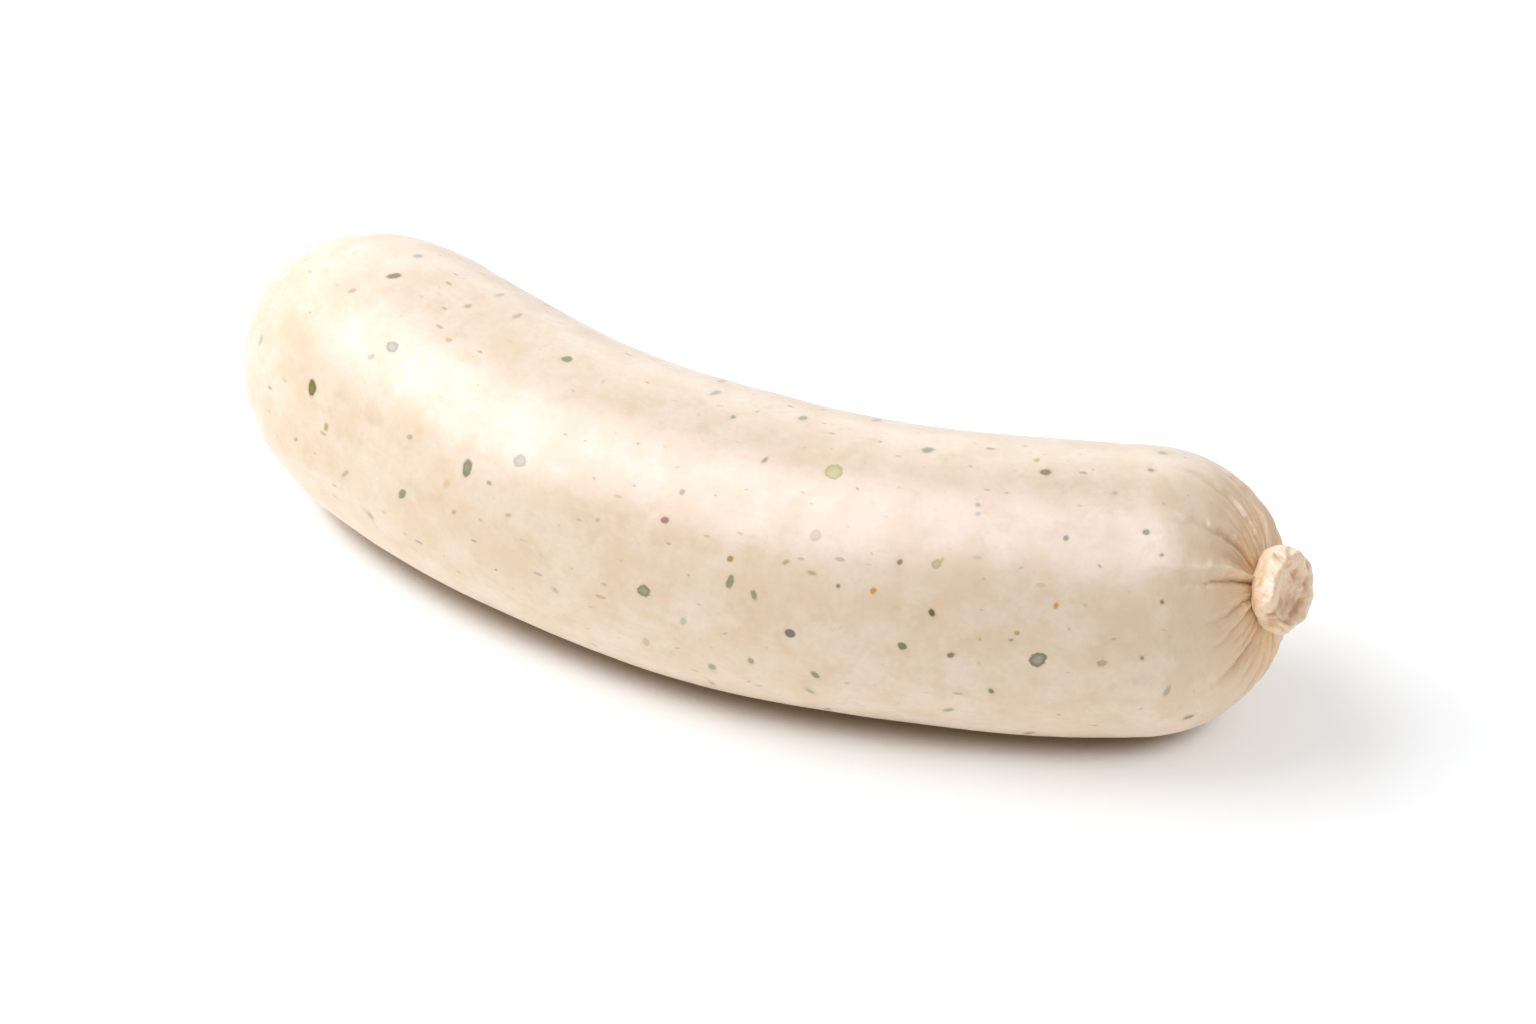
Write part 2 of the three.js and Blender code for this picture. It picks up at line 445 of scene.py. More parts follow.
def centreline(shape, share):
    """A point of the centreline and the way it runs there."""
    heading = share * shape.body_length / (2 * shape.arc_radius)
    bend = Vector((math.sin(heading), 1 - math.cos(heading), 0)) * shape.arc_radius
    height = UP * (body_radius(shape, share) - shape.rest_sink)
    return BODY_MIDDLE + bend + height, Vector((math.cos(heading), math.sin(heading), 0))


def turned(axis, turn, rise):
    """An axis turned sideways and raised."""
    sideways = UP.cross(axis).normalized()
    angle = math.hypot(turn, rise)
    if angle == 0:
        return axis.copy()
    way = (sideways * turn + UP * rise) / angle
    return (axis * math.cos(angle) + way * math.sin(angle)).normalized()


class End(NamedTuple):
    """One gathered end of the sausage."""

    side: int
    radius: float
    length: float
    fullness: float
    turn: float
    rise: float
    creases: list
    rows: int


def near_end(shape):
    """The end with the tie towards the front."""
    creases = NEAR_CREASES + even_creases(*NEAR_EVEN)
    return End(1, shape.radius_near, shape.near_length, NEAR_FULLNESS, shape.near_turn, shape.near_rise,
               creases, NEAR_ROWS)


def far_end(shape):
    """The end with the tie towards the back."""
    creases = even_creases(*FAR_EVEN)
    return End(-1, shape.radius_far, shape.far_length, FAR_FULLNESS, shape.far_turn, shape.far_rise,
               creases, FAR_ROWS)


def tie_of(shape, end):
    """The middle of an end's tie, and the way out from it."""
    start, direction = centreline(shape, end.side)
    axis = turned(direction * end.side, end.turn, end.rise)
    return start + axis * end.length, axis


def ring_axes(side, outward):
    """The axes across and above a ring, whose own axis always points towards +X."""
    axis = outward * side
    across = UP.cross(axis).normalized()
    return across, axis.cross(across)


def dome_ring(shape, end, share):
    """A ring of a rounded end; share goes from 0 at the body to 1 at the tie."""
    start, direction = centreline(shape, end.side)
    outward = direction * end.side
    tie = turned(outward, end.turn, end.rise)
    slant = share * math.pi / 2
    axis = outward.lerp(tie, share).normalized()
    middle = start + axis * (end.length * math.sin(slant))
    narrowing = max(math.cos(slant), 0.0) ** end.fullness if share < 1 else 0.0
    radius = shape.neck_radius + (end.radius - shape.neck_radius) * narrowing
    along = end.side * (shape.body_length / 2 + end.length * slant)
    return Ring(middle, *ring_axes(end.side, axis), axis, radius, slant, along, narrowing, radius)


def plug_ring(shape, end, share):
    """A ring of the casing past the tie, inside the knob, which closes the skin."""
    neck, axis = tie_of(shape, end)
    middle = neck + axis * (PLUG_LENGTH * share)
    radius = shape.neck_radius * math.sqrt(max(0.0, 1 - share * share))
    along = end.side * (shape.body_length / 2 + end.length * math.pi / 2 + PLUG_LENGTH * share)
    return Ring(middle, *ring_axes(end.side, axis), axis, radius, math.pi / 2, along, 0.0, shape.neck_radius)


def end_rings(shape, end):
    """Rings of one end, from the body out."""
    dome = [dome_ring(shape, end, step / end.rows) for step in range(1, end.rows + 1)]
    plug = [plug_ring(shape, end, step / PLUG_ROWS) for step in range(1, PLUG_ROWS + 1)]
    return dome + plug


def body_ring(shape, share):
    """A ring of the body between its rounded ends."""
    middle, direction = centreline(shape, share)
    half = shape.body_length / 2
    along = share * half
    radius = body_radius(shape, share)
    tie = (shape.radius_near if share > 0 else shape.radius_far) + half - abs(along)
    return Ring(middle, *ring_axes(1, direction), direction, radius, 0.0, along, 1.0, tie)


def skin_rings(shape):
    """All the rings of the skin, from the far tie to the near tie."""
    body = [body_ring(shape, 2 * step / BODY_ROWS - 1) for step in range(BODY_ROWS + 1)]
    return end_rings(shape, far_end(shape))[::-1] + body + end_rings(shape, near_end(shape))


def keep(mesh, name, kind, values):
    """Keeps a value for each point of a mesh, as a named attribute."""
    field = {"FLOAT": "value", "FLOAT_VECTOR": "vector", "FLOAT_COLOR": "color"}[kind]
    flat = np.asarray(values, np.float32).ravel()
    mesh.attributes.new(name, kind, "POINT").data.foreach_set(field, flat)


def spine_mesh(rings):
    """A mesh with one point for each ring, which holds the ring's axes and sizes as attributes."""
    mesh = bpy.data.meshes.new("spine")
    mesh.from_pydata([ring.middle for ring in rings], [], [])
    for kind, names in (("FLOAT_VECTOR", RING_AXES), ("FLOAT", RING_SIZES)):
        for name in names:
            keep(mesh, name, kind, [getattr(ring, name) for ring in rings])
    return mesh


# Geometry Nodes: one crease, and the skin lofted over the spine

def new_tree(name, sockets, outputs):
    """A Geometry Nodes group with named inputs and outputs, each [name, socket type, default]."""
    tree = bpy.data.node_groups.new(name, "GeometryNodeTree")
    for socket_name, kind, default in sockets:
        socket = tree.interface.new_socket(socket_name, in_out="INPUT", socket_type=kind)
        if default is not None:
            socket.default_value = default
    for socket_name, kind in outputs:
        tree.interface.new_socket(socket_name, in_out="OUTPUT", socket_type=kind)
    nodes = Nodes(tree)
    return tree, nodes, nodes.add("NodeGroupInput").outputs, nodes.add("NodeGroupOutput").inputs


def crease_tree():
    """How far one crease pulls the skin in, and its painted shading: painted shade deep in its valley,
    painted light on its lip.
    """
    sockets = [(name, "NodeSocketFloat", 0.0) for name in
               ("Angle", "Distance", "Crease angle", "Depth", "Reach", "Width", "Lip", "Drift")]
    outputs = [("Pull", "NodeSocketFloat"), ("Painted shading", "NodeSocketFloat")]
    tree, n, given, result = new_tree("Crease", sockets, outputs)
    away = n.over(n.minus(given["Distance"], CREASE_HOME), DRIFT_STEP)
    crease_angle = n.math("MULTIPLY_ADD", given["Drift"], away, given["Crease angle"])
    turn = n.math("WRAP", n.minus(given["Angle"], crease_angle), math.pi, -math.pi)
    sideways = n.times(turn, given["Distance"])
    homes = n.over(given["Distance"], CREASE_HOME)
    narrow = n.math("MINIMUM", n.math("MAXIMUM", homes, CREASE_NARROWEST), CREASE_WIDEST)
    width = n.times(given["Width"], narrow)
    fade_start = n.times(given["Reach"], CREASE_FADE[0])
    fade_end = n.times(given["Reach"], CREASE_FADE[1])
    outer = n.ramp(given["Distance"], fade_start, fade_end, 1.0, 0.0)
    fade = n.times(outer, n.ramp(given["Distance"], *TIE_CALM, TIE_DEPTH, 1.0))
    steps = n.over(n.math("ABSOLUTE", sideways), width)
    valley = n.times(given["Depth"], n.math("EXPONENT", n.times(steps, -1.0)))
    beside = n.times(n.math("SIGN", given["Lip"]), n.times(width, LIP_DISTANCE))
    lip_steps = n.over(n.minus(sideways, beside), n.times(width, LIP_SPREAD))
    lip_fall = n.math("EXPONENT", n.times(lip_steps, lip_steps, -1.0))
    ridge = n.times(n.math("ABSOLUTE", given["Lip"]), lip_fall)
    n.feed(result["Pull"], n.times(fade, n.minus(valley, ridge)))
    # Painted shading for the casing's colour: darker deep in the valley, lighter on the lip
    painted_shading = n.minus(valley, n.times(ridge, LIP_PAINTED_LIGHT))
    n.feed(result["Painted shading"], n.times(fade, painted_shading))
    return tree


def sampled(n, spine, name, row, kind):
    """An attribute of the spine, read at a row."""
    read = n.add("GeometryNodeInputNamedAttribute", {"Name": name}, data_type=kind)
    sample = n.add("GeometryNodeSampleIndex", {"Geometry": spine, "Index": row},
                   data_type=kind, domain="POINT")
    n.feed(sample.inputs["Value"], read.outputs["Attribute"])
    return sample.outputs[0]


def stored(n, mesh, name, value, kind, domain="POINT"):
    """The mesh with a value kept as a named attribute."""
    store = n.add("GeometryNodeStoreNamedAttribute", {"Geometry": mesh, "Name": name},
                  data_type=kind, domain=domain)
    n.feed(store.inputs["Value"], value)
    return store.outputs["Geometry"]


def summed_creases(n, crease, creases, angle, distance):
    """The pull of all the creases of one end, and their painted shading."""
    pull = 0.0
    valley = 0.0
    for one in creases:
        node = n.add("GeometryNodeGroup", node_tree=crease)
        values = {"Angle": angle, "Distance": distance, "Crease angle": math.radians(one.angle),
                  "Depth": one.depth * MM, "Reach": one.reach * MM, "Width": one.width * MM,
                  "Lip": one.lip * MM, "Drift": math.radians(one.drift)}
        for name, value in values.items():
            n.feed(node.inputs[name], value)
        pull = n.plus(pull, node.outputs["Pull"])
        valley = n.plus(valley, node.outputs["Painted shading"])
    return pull, valley


def chosen(n, near, far_value, near_value):
    """One value at the near end and another at the far end."""
    node = n.add("ShaderNodeMix", {"Factor": near}, data_type="FLOAT")
    n.feed(node.inputs[2], far_value)
    n.feed(node.inputs[3], near_value)
    return node.outputs[0]


def skin_tree(shape, rows):
    """The skin lofted over the spine: swelling, creases at both ties, fine pleats and a flat underside."""
    sockets = [
        ("Spine", "NodeSocketGeometry", None),
        ("Columns", "NodeSocketInt", SKIN_COLUMNS),
        ("Swell height", "NodeSocketFloat", 0.14 * MM),
        ("Swell length", "NodeSocketFloat", 37 * MM),
        ("Crease limit", "NodeSocketFloat", 1.4 * MM),
        ("Pleat height", "NodeSocketFloat", 0.7 * MM),
        ("Puff", "NodeSocketFloat", 0.45 * MM),
        ("Lump height", "NodeSocketFloat", 0.22 * MM),
        ("Lump size", "NodeSocketFloat", 9 * MM),
        ("Skin", "NodeSocketMaterial", None),
    ]
    tree, n, given, result = new_tree("Sausage skin", sockets, [("Skin", "NodeSocketGeometry")])
    crease = crease_tree()
    spine = given["Spine"]
    columns = given["Columns"]

    grid = n.add("GeometryNodeMeshGrid", {"Size X": rows - 1.0, "Size Y": columns, "Vertices X": rows,
                                          "Vertices Y": n.plus(columns, 1.0)})
    mesh = stored(n, grid.outputs["Mesh"], BAKE_MAP, grid.outputs["UV Map"], "FLOAT2", "CORNER")
    place = n.add("ShaderNodeSeparateXYZ", {0: n.add("GeometryNodeInputPosition").outputs[0]}).outputs
    row = n.math("ROUND", n.plus(place["X"], (rows - 1) / 2))
    column = n.plus(place["Y"], n.times(columns, 0.5))
    angle = n.times(n.over(column, columns), math.tau)

    position = n.add("GeometryNodeInputPosition").outputs[0]
    centre = n.add("GeometryNodeSampleIndex", {"Geometry": spine, "Index": row},
                   data_type="FLOAT_VECTOR", domain="POINT")
    n.feed(centre.inputs["Value"], position)
    across, above, outward = (sampled(n, spine, name, row, "FLOAT_VECTOR") for name in RING_AXES)
    radius, slant, along, swell_share, tie = (sampled(n, spine, name, row, "FLOAT") for name in RING_SIZES)

    cosine = n.math("COSINE", angle)
    sine = n.math("SINE", angle)
    half = shape.body_length / 2
    position_along = n.math("MINIMUM", n.math("MAXIMUM", along, -half), half)
    turns = n.over(position_along, given["Swell length"])
    fast = n.math("SINE", n.math("MULTIPLY_ADD", turns, math.tau, n.times(angle, 2.0)))
    slow = n.math("SINE", n.math("MULTIPLY_ADD", turns, math.pi, n.times(angle, -1.0)))
    waves = n.times(n.plus(fast, slow), given["Swell height"])
    swell = n.times(waves, swell_share)

    # Coordinates of the unbent sausage, and of the pleats round a tie, for the patterns
    round_it = {0: along, 1: n.times(radius, cosine), 2: n.times(radius, sine)}
    unbent = n.add("ShaderNodeCombineXYZ", round_it).outputs[0]
    spokes = n.add("ShaderNodeCombineXYZ", {0: cosine, 1: sine, 2: n.times(tie, SPOKE_STRETCH)}).outputs[0]

    wander = n.minus(n.noise(n.scaled(unbent, 1.0), WANDER_BENDS), 0.5)
    bent_angle = n.math("MULTIPLY_ADD", wander, WANDER, angle)
    near = n.math("GREATER_THAN", along, 0.0)
    near_pull, near_painted_shading = summed_creases(n, crease, near_end(shape).creases, bent_angle, tie)
    far_pull, far_painted_shading = summed_creases(n, crease, far_end(shape).creases, bent_angle, tie)
    folds = chosen(n, near, far_pull, near_pull)
    valley = chosen(n, near, far_painted_shading, near_painted_shading)
    pleats = n.minus(n.noise(spokes, PLEATS, 2.0, 0.55), 0.5)
    pleat_fade = n.ramp(tie, *PLEAT_FADE, 1.0, 0.0)
    pleat_pull = n.times(pleats, given["Pleat height"], pleat_fade)
    pull = n.plus(folds, pleat_pull)
    limited = n.times(n.math("TANH", n.over(pull, given["Crease limit"])), given["Crease limit"])
    puffed = n.minus(limited, n.ramp(tie, *PUFF_FADE, given["Puff"], 0.0))
    clear = n.ramp(tie, shape.neck_radius, 1.5 * shape.neck_radius)
    pull = n.times(puffed, clear)

    inward = n.times(pull, n.math("COSINE", slant))
    reach_out = n.minus(n.plus(radius, swell), inward)
    lift = n.times(pull, n.math("SINE", slant), -1.0)
    sideways = n.scaled(across, n.times(reach_out, cosine))
    ring = n.vector("ADD", sideways, n.scaled(above, n.times(reach_out, sine)))
    point = n.vector("ADD", n.vector("ADD", centre.outputs[0], ring), n.scaled(outward, lift))

    # The patterns' coordinates are kept before the points move, because they are read from the flat grid
    mesh = stored(n, mesh, "unbent", unbent, "FLOAT_VECTOR")
    mesh = stored(n, mesh, "spokes", spokes, "FLOAT_VECTOR")
    # Painted shading of the creases, which the casing's colour reads as painted shade and painted light
    mesh = stored(n, mesh, "valley", n.over(valley, MM), "FLOAT")
    mesh = stored(n, mesh, "tie", tie, "FLOAT")
    placed = n.add("GeometryNodeSetPosition", {"Geometry": mesh, "Position": point}).outputs[0]
    merged = n.add("GeometryNodeMergeByDistance", {"Geometry": placed, "Distance": 0.001 * MM}).outputs[0]

    # Soft lumps of the filling push the skin out along its own normal
    own = n.add("GeometryNodeInputNamedAttribute", {"Name": "unbent"}, data_type="FLOAT_VECTOR")
    lumps = n.noise(own.outputs["Attribute"], n.over(1.0, given["Lump size"]))
    lump_height = n.times(n.minus(lumps, 0.5), given["Lump height"])
    offset = n.scaled(n.add("GeometryNodeInputNormal").outputs[0], lump_height)
    lumped = n.add("GeometryNodeSetPosition", {"Geometry": merged, "Offset": offset}).outputs[0]

    # Pressed flat where it rests
    here = n.add("ShaderNodeSeparateXYZ", {0: n.add("GeometryNodeInputPosition").outputs[0]}).outputs
    floor_height = n.math("MAXIMUM", here["Z"], 0.0)
    pressed = n.add("ShaderNodeCombineXYZ", {0: here["X"], 1: here["Y"], 2: floor_height}).outputs[0]
    flat = n.add("GeometryNodeSetPosition", {"Geometry": lumped, "Position": pressed}).outputs[0]

    smooth = n.add("GeometryNodeSetShadeSmooth", {"Geometry": flat}).outputs[0]
    real = n.add("GeometryNodeRealizeInstances", {"Geometry": smooth}).outputs[0]
    dressed = n.add("GeometryNodeSetMaterial", {"Geometry": real, "Material": given["Skin"]}).outputs[0]
    n.feed(result["Skin"], dressed)
    return tree


def object_of(name, mesh):
    """A mesh as an object of the scene, at the origin."""
    thing = bpy.data.objects.new(name, mesh)
    bpy.context.scene.collection.objects.link(thing)
    return thing


def grown(source, tree, values):
    """A plain mesh made by a tree from a source object; values are the tree's inputs by name."""
    modifier = source.modifiers.new("grow", "NODES")
    modifier.node_group = tree
    for item in tree.interface.items_tree:
        if item.in_out == "INPUT" and item.name in values:
            modifier[item.identifier] = values[item.name]
    bpy.context.view_layer.update()
    result = source.evaluated_get(bpy.context.evaluated_depsgraph_get())
    mesh = bpy.data.meshes.new_from_object(result)
    source.modifiers.remove(modifier)
    return mesh


def face_outwards(mesh):
    """Turns all the faces of a closed mesh outwards."""
    work = bmesh.new()
    work.from_mesh(mesh)
    bmesh.ops.recalc_face_normals(work, faces=work.faces)
    work.to_mesh(mesh)
    work.free()


def finished(piece):
    """Rides a piece on the part's one body, in place of the plain solid."""
    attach(piece, "root")
    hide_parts("sausage")


# Camera rays, for what is placed by the photograph

def camera_axes(look):
    """The camera's place, and the ways that it calls right, up and back."""
    a = look.azimuth
    e = look.elevation
    back = Vector((math.sin(a) * math.cos(e), -math.cos(a) * math.cos(e), math.sin(e)))
    right = UP.cross(back).normalized()
    return Vector(look.target) + back * look.distance, right, back.cross(right), back


def pixel_width(look):
    """Width of a pixel of the photograph, one unit away from the camera."""
    return SENSOR_WIDTH / look.lens / PHOTO_WIDTH


def pixel_ray(look, px, py):
    """The camera's place, and the way from it through a pixel of the photograph."""
    place, right, up, back = camera_axes(look)
    pixel = pixel_width(look)
    way = right * ((px - PHOTO_WIDTH / 2) * pixel) - up * ((py - PHOTO_HEIGHT / 2) * pixel) - back
    return place, way.normalized()


# Herb flecks

class Fleck(NamedTuple):
    """A fleck seen in the photograph: its pixel, its length and width in pixels, its lean and its kind."""

    px: float
    py: float
    length: float
    width: float
    lean: float
    kind: str
    strength: float = 1.0


FLECK_COLOURS = {
    "olive": (0.14, 0.145, 0.012),
    "green": (0.17, 0.195, 0.07),
    "pale green": (0.43, 0.43, 0.13),
    "blue grey": (0.20, 0.21, 0.14),
    "grey": (0.15, 0.125, 0.09),
    "brown": (0.20, 0.12, 0.045),
    "red brown": (0.22, 0.06, 0.03),
    "ochre": (0.42, 0.25, 0.03),
    "orange": (0.62, 0.29, 0.008),
    "yellow": (0.50, 0.34, 0.06),
}

SEEN_FLECKS = [
    Fleck(312, 388, 16, 8, 85, "olive"),
    Fleck(394, 276, 15, 5, 8, "olive", 0.9),
    Fleck(418, 256, 10, 4, 0, "grey", 0.5),
    Fleck(352, 291, 9, 4, 15, "brown", 0.4),
    Fleck(392, 347, 13, 11, 20, "blue grey", 0.75),
    Fleck(371, 357, 8, 5, 30, "grey", 0.4),
    Fleck(467, 468, 18, 9, 80, "green", 0.95),
    Fleck(520, 461, 14, 12, 30, "blue grey", 0.55),
    Fleck(402, 494, 10, 7, 60, "green", 0.8),
    Fleck(326, 427, 8, 4, 85, "ochre", 0.7),
    Fleck(468, 306, 8, 4, 10, "ochre", 0.6),
    Fleck(500, 295, 10, 3, 10, "grey", 0.4),
    Fleck(449, 340, 6, 4, 0, "ochre", 0.5),
    Fleck(410, 437, 6, 5, 0, "grey", 0.4),
    Fleck(261, 340, 9, 3, 80, "brown", 0.4),
    Fleck(454, 512, 5, 4, 60, "yellow", 0.7),
    Fleck(508, 515, 6, 4, 0, "ochre", 0.5),
    Fleck(447, 484, 9, 6, 70, "orange", 0.25),
    Fleck(345, 474, 8, 4, 40, "brown", 0.4),
    Fleck(370, 515, 9, 3, 130, "grey", 0.4),
    Fleck(517, 316, 9, 4, 20, "grey", 0.4),
    Fleck(567, 359, 11, 6, 0, "green", 0.9),
    Fleck(834, 472, 18, 15, 15, "pale green", 0.75),
    Fleck(665, 520, 8, 7, 0, "red brown", 0.85),
    Fleck(730, 559, 6, 6, 0, "ochre", 0.95),
    Fleck(730, 582, 13, 7, 75, "green", 0.75),
    Fleck(754, 595, 9, 5, 110, "green", 0.7),
    Fleck(644, 591, 13, 11, 150, "green", 0.85),
    Fleck(790, 633, 10, 8, 150, "grey", 0.95),
    Fleck(873, 591, 7, 6, 60, "orange", 0.95),
    Fleck(786, 562, 7, 4, 20, "ochre", 0.6),
    Fleck(812, 573, 9, 4, 160, "yellow", 0.8),
    Fleck(838, 586, 4, 4, 0, "olive", 0.8),
    Fleck(765, 460, 8, 3, 40, "brown", 0.7),
    Fleck(816, 535, 12, 10, 40, "blue grey", 0.3),
    Fleck(682, 492, 6, 5, 60, "blue grey", 0.7),
    Fleck(715, 393, 10, 4, 15, "grey", 0.5),
    Fleck(733, 417, 5, 3, 0, "olive", 0.6),
    Fleck(803, 418, 9, 4, 5, "olive", 0.7),
    Fleck(877, 420, 10, 3, 10, "grey", 0.4),
    Fleck(722, 381, 9, 3, 10, "grey", 0.4),
    Fleck(712, 667, 8, 5, 150, "green", 0.6),
    Fleck(751, 661, 7, 5, 140, "brown", 0.6),
    Fleck(815, 675, 9, 5, 140, "green", 0.8),
    Fleck(810, 691, 10, 3, 150, "green", 0.5),
    Fleck(712, 683, 8, 3, 150, "grey", 0.4),
    Fleck(646, 642, 9, 6, 120, "blue grey", 0.35),
    Fleck(683, 621, 8, 6, 60, "blue grey", 0.35),
    Fleck(928, 450, 13, 5, 5, "green", 0.75),
    Fleck(1046, 472, 11, 6, 0, "olive", 0.85),
    Fleck(1037, 460, 6, 4, 20, "ochre", 0.6),
    Fleck(900, 562, 6, 5, 30, "red brown", 0.8),
    Fleck(936, 564, 10, 9, 20, "pale green", 0.8),
    Fleck(942, 560, 5, 3, 60, "orange", 0.5),
    Fleck(932, 613, 8, 6, 120, "olive"),
    Fleck(902, 646, 9, 7, 150, "olive", 0.85),
    Fleck(951, 655, 8, 5, 10, "olive", 0.85),
    Fleck(1038, 660, 17, 14, 20, "blue grey", 0.95),
    Fleck(1056, 606, 6, 5, 60, "orange", 0.85),
    Fleck(1017, 633, 5, 4, 0, "ochre", 0.7),
    Fleck(1011, 640, 5, 3, 20, "grey", 0.5),
    Fleck(1066, 538, 5, 5, 0, "grey", 0.85),
    Fleck(1146, 532, 7, 6, 0, "grey", 0.9),
    Fleck(1162, 555, 4, 3, 0, "brown", 0.8),
    Fleck(1162, 602, 4, 4, 0, "brown", 0.8),
    Fleck(1102, 663, 10, 6, 10, "blue grey", 0.5),
    Fleck(991, 691, 6, 4, 150, "olive", 0.9),
    Fleck(1142, 658, 4, 4, 0, "brown", 0.7),
    Fleck(1167, 691, 11, 5, 60, "blue grey", 0.45),
    Fleck(1189, 717, 10, 3, 20, "brown", 0.8),
    Fleck(1151, 470, 6, 3, 170, "brown", 0.8),
    Fleck(1163, 453, 9, 3, 170, "grey", 0.6),
    Fleck(978, 505, 5, 4, 0, "blue grey", 0.5),
    Fleck(978, 514, 5, 4, 0, "blue grey", 0.4),
    Fleck(1115, 493, 6, 4, 0, "blue grey", 0.35),
    Fleck(1029, 733, 12, 3, 10, "brown", 0.6),
    Fleck(948, 710, 10, 3, 10, "green", 0.6),
    Fleck(827, 709, 9, 3, 15, "brown", 0.5),
    Fleck(555, 590, 8, 3, 135, "grey", 0.3),
    Fleck(598, 520, 5, 4, 30, "ochre", 0.35),
]


# Flecks of one layer lie at least this far apart
FLECK_GAP = 2.9 * MM

# How often a place is drawn, for each fleck that a rule scatters
TRIES = 12

# Spread of a scattered fleck's lean, in radians, and how many times as long as wide it may be
LEAN_SPREAD = 0.5
STRETCHES = (1.0, 2.4)

# A face is hidden from the camera if its slope towards it is less than this
HIDDEN_SLOPE = -0.05


class Scatter(NamedTuple):
    """Flecks set by a seeded rule: their number, half widths in millimetres, strengths and distance."""

    count: int
    sizes: tuple
    strengths: tuple
    apart: float


LARGE_SCATTER = Scatter(90, (0.22, 0.55), (0.3, 1.0), 4 * MM)
SMALL_SCATTER = Scatter(440, (0.07, 0.165), (0.15, 0.6), FLECK_GAP)


class Spot(NamedTuple):
    """A fleck on the skin: its middle, and vectors that measure it along and across, 1 at its edge."""

    middle: Vector
    along: Vector
    across: Vector
    half: float
    colour: tuple
    strength: float


def seen_spots(look, skin):
    """The flecks of the photograph, cast from its camera on to the skin."""
    place, right, up, back = camera_axes(look)
    pixel = pixel_width(look)
    spots = []
    missed = []
    for fleck in SEEN_FLECKS:
        origin, way = pixel_ray(look, fleck.px, fleck.py)
        hit, point, _, _ = skin.ray_cast(origin, way)
        if not hit:
            missed.append((fleck.px, fleck.py))
            continue
        size = pixel * (point - place).dot(-back)
        lean = math.radians(fleck.lean)
        along = right * math.cos(lean) + up * math.sin(lean)
        across = up * math.cos(lean) - right * math.sin(lean)
        half_length = fleck.length * size / 2
        half_width = fleck.width * size / 2
        colour = FLECK_COLOURS[fleck.kind]
        spots.append(Spot(point, along / half_length, across / half_width, half_width,
                          colour, fleck.strength))
    if missed:
        raise RuntimeError(f"flecks that miss the skin: {missed}")
    return spots


def two_layers(spots, apart):
    """The flecks in two layers, so that those of one layer all lie apart."""
    first = []
    second = []
    for spot in spots:
        crowded = any((spot.middle - other.middle).length < apart for other in first)
        (second if crowded else first).append(spot)
    return first, second


def scattered_spots(skin, scatter, taken, hidden_from=None):
    """Flecks scattered over the skin by a seeded rule, each apart from the others and from those taken.

    With hidden_from, a way towards the camera, they lie only where the camera doesn't look.
    """
    draw = random.Random(SEED + scatter.count)
    faces = [face for face in skin.data.polygons if face.area > 0]
    weights = np.cumsum([face.area for face in faces])
    kinds = sorted(FLECK_COLOURS)
    middles = [spot.middle for spot in taken]
    spots = []
    for _ in range(TRIES * scatter.count):
        if len(spots) == scatter.count:
            break
        index = int(np.searchsorted(weights, draw.random() * weights[-1]))
        face = faces[min(index, len(faces) - 1)]
        middle = Vector(face.center)
        turn = draw.gauss(0, LEAN_SPREAD)
        half = MM * draw.uniform(*scatter.sizes) * (0.6 + 0.9 * draw.random() ** 3)
        stretch = draw.uniform(*STRETCHES)
        colour = FLECK_COLOURS[draw.choice(kinds)]
        strength = draw.uniform(*scatter.strengths)
        if hidden_from is not None and face.normal.dot(hidden_from) > HIDDEN_SLOPE:
            continue
        if any((middle - other).length < scatter.apart for other in middles):
            continue
        side = face.normal.cross(Vector((1, 0, 0))).normalized()
        length_way = side.cross(face.normal)
        along = length_way * math.cos(turn) + side * math.sin(turn)
        across = side * math.cos(turn) - length_way * math.sin(turn)
        spots.append(Spot(middle, along / (half * stretch), across / half, half, colour, strength))
        middles.append(middle)
    return spots


def read_vectors(collection, name):
    """A vector property of all the points or attribute values of a mesh, one row for each."""
    values = np.zeros(len(collection) * 3)
    collection.foreach_get(name, values)
    return values.reshape(-1, 3)


def write_spots(mesh, name, spots):
    """Keeps at every point of the skin where it lies in its nearest fleck, and that fleck's colour."""
    tree = kdtree.KDTree(len(spots))
    for index, spot in enumerate(spots):
        tree.insert(spot.middle, index)
    tree.balance()
    nearest = np.array([tree.find(vertex.co)[1:] for vertex in mesh.vertices])
    chosen = nearest[:, 0].astype(int)
    middles = np.array([spot.middle for spot in spots])
    offset = read_vectors(mesh.vertices, "co") - middles[chosen]
    along = (offset * np.array([spot.along for spot in spots])[chosen]).sum(1)
    across = (offset * np.array([spot.across for spot in spots])[chosen]).sum(1)
    half = np.array([spot.half for spot in spots])[chosen]
    tints = np.array([(*spot.colour, spot.strength) for spot in spots])[chosen]
    keep(mesh, f"{name}_at", "FLOAT_VECTOR", np.stack([along, across, nearest[:, 1] / MM], 1))
    keep(mesh, f"{name}_tint", "FLOAT_COLOR", tints)
    keep(mesh, f"{name}_half", "FLOAT", half / MM)


# Materials

# How fine the patterns of the casing and the knobs are, in repeats per metre
CLOUDS = 210.0
WARM_CLOUDS = 330.0
GRAIN = 1500.0
STREAKS = 800.0
SMUDGES = 420.0
DUST = 760.0
RAGGED_EDGE = 1400.0
CRINKLES = 1500.0
CURLS = 700.0
PEBBLES = 320.0
PATCHES = 90.0
KNOB_CLOUDS = 520.0
KNOB_VEINS = 1100.0

# Fine wrinkles round a tie, in repeats for each unit of the spokes' coordinates
WRINKLES = 24.0

# Share of the dust's cells that hold no herb
DUST_FREE = 0.84

# The gathered colour starts this far from the tie behind, and this much further from the one in view
GATHERED_REACH = 12.8 * MM
GATHERED_FURTHER = 3.4 * MM

# How strongly light bends as it enters the moist casing
CASING_IOR = 1.42


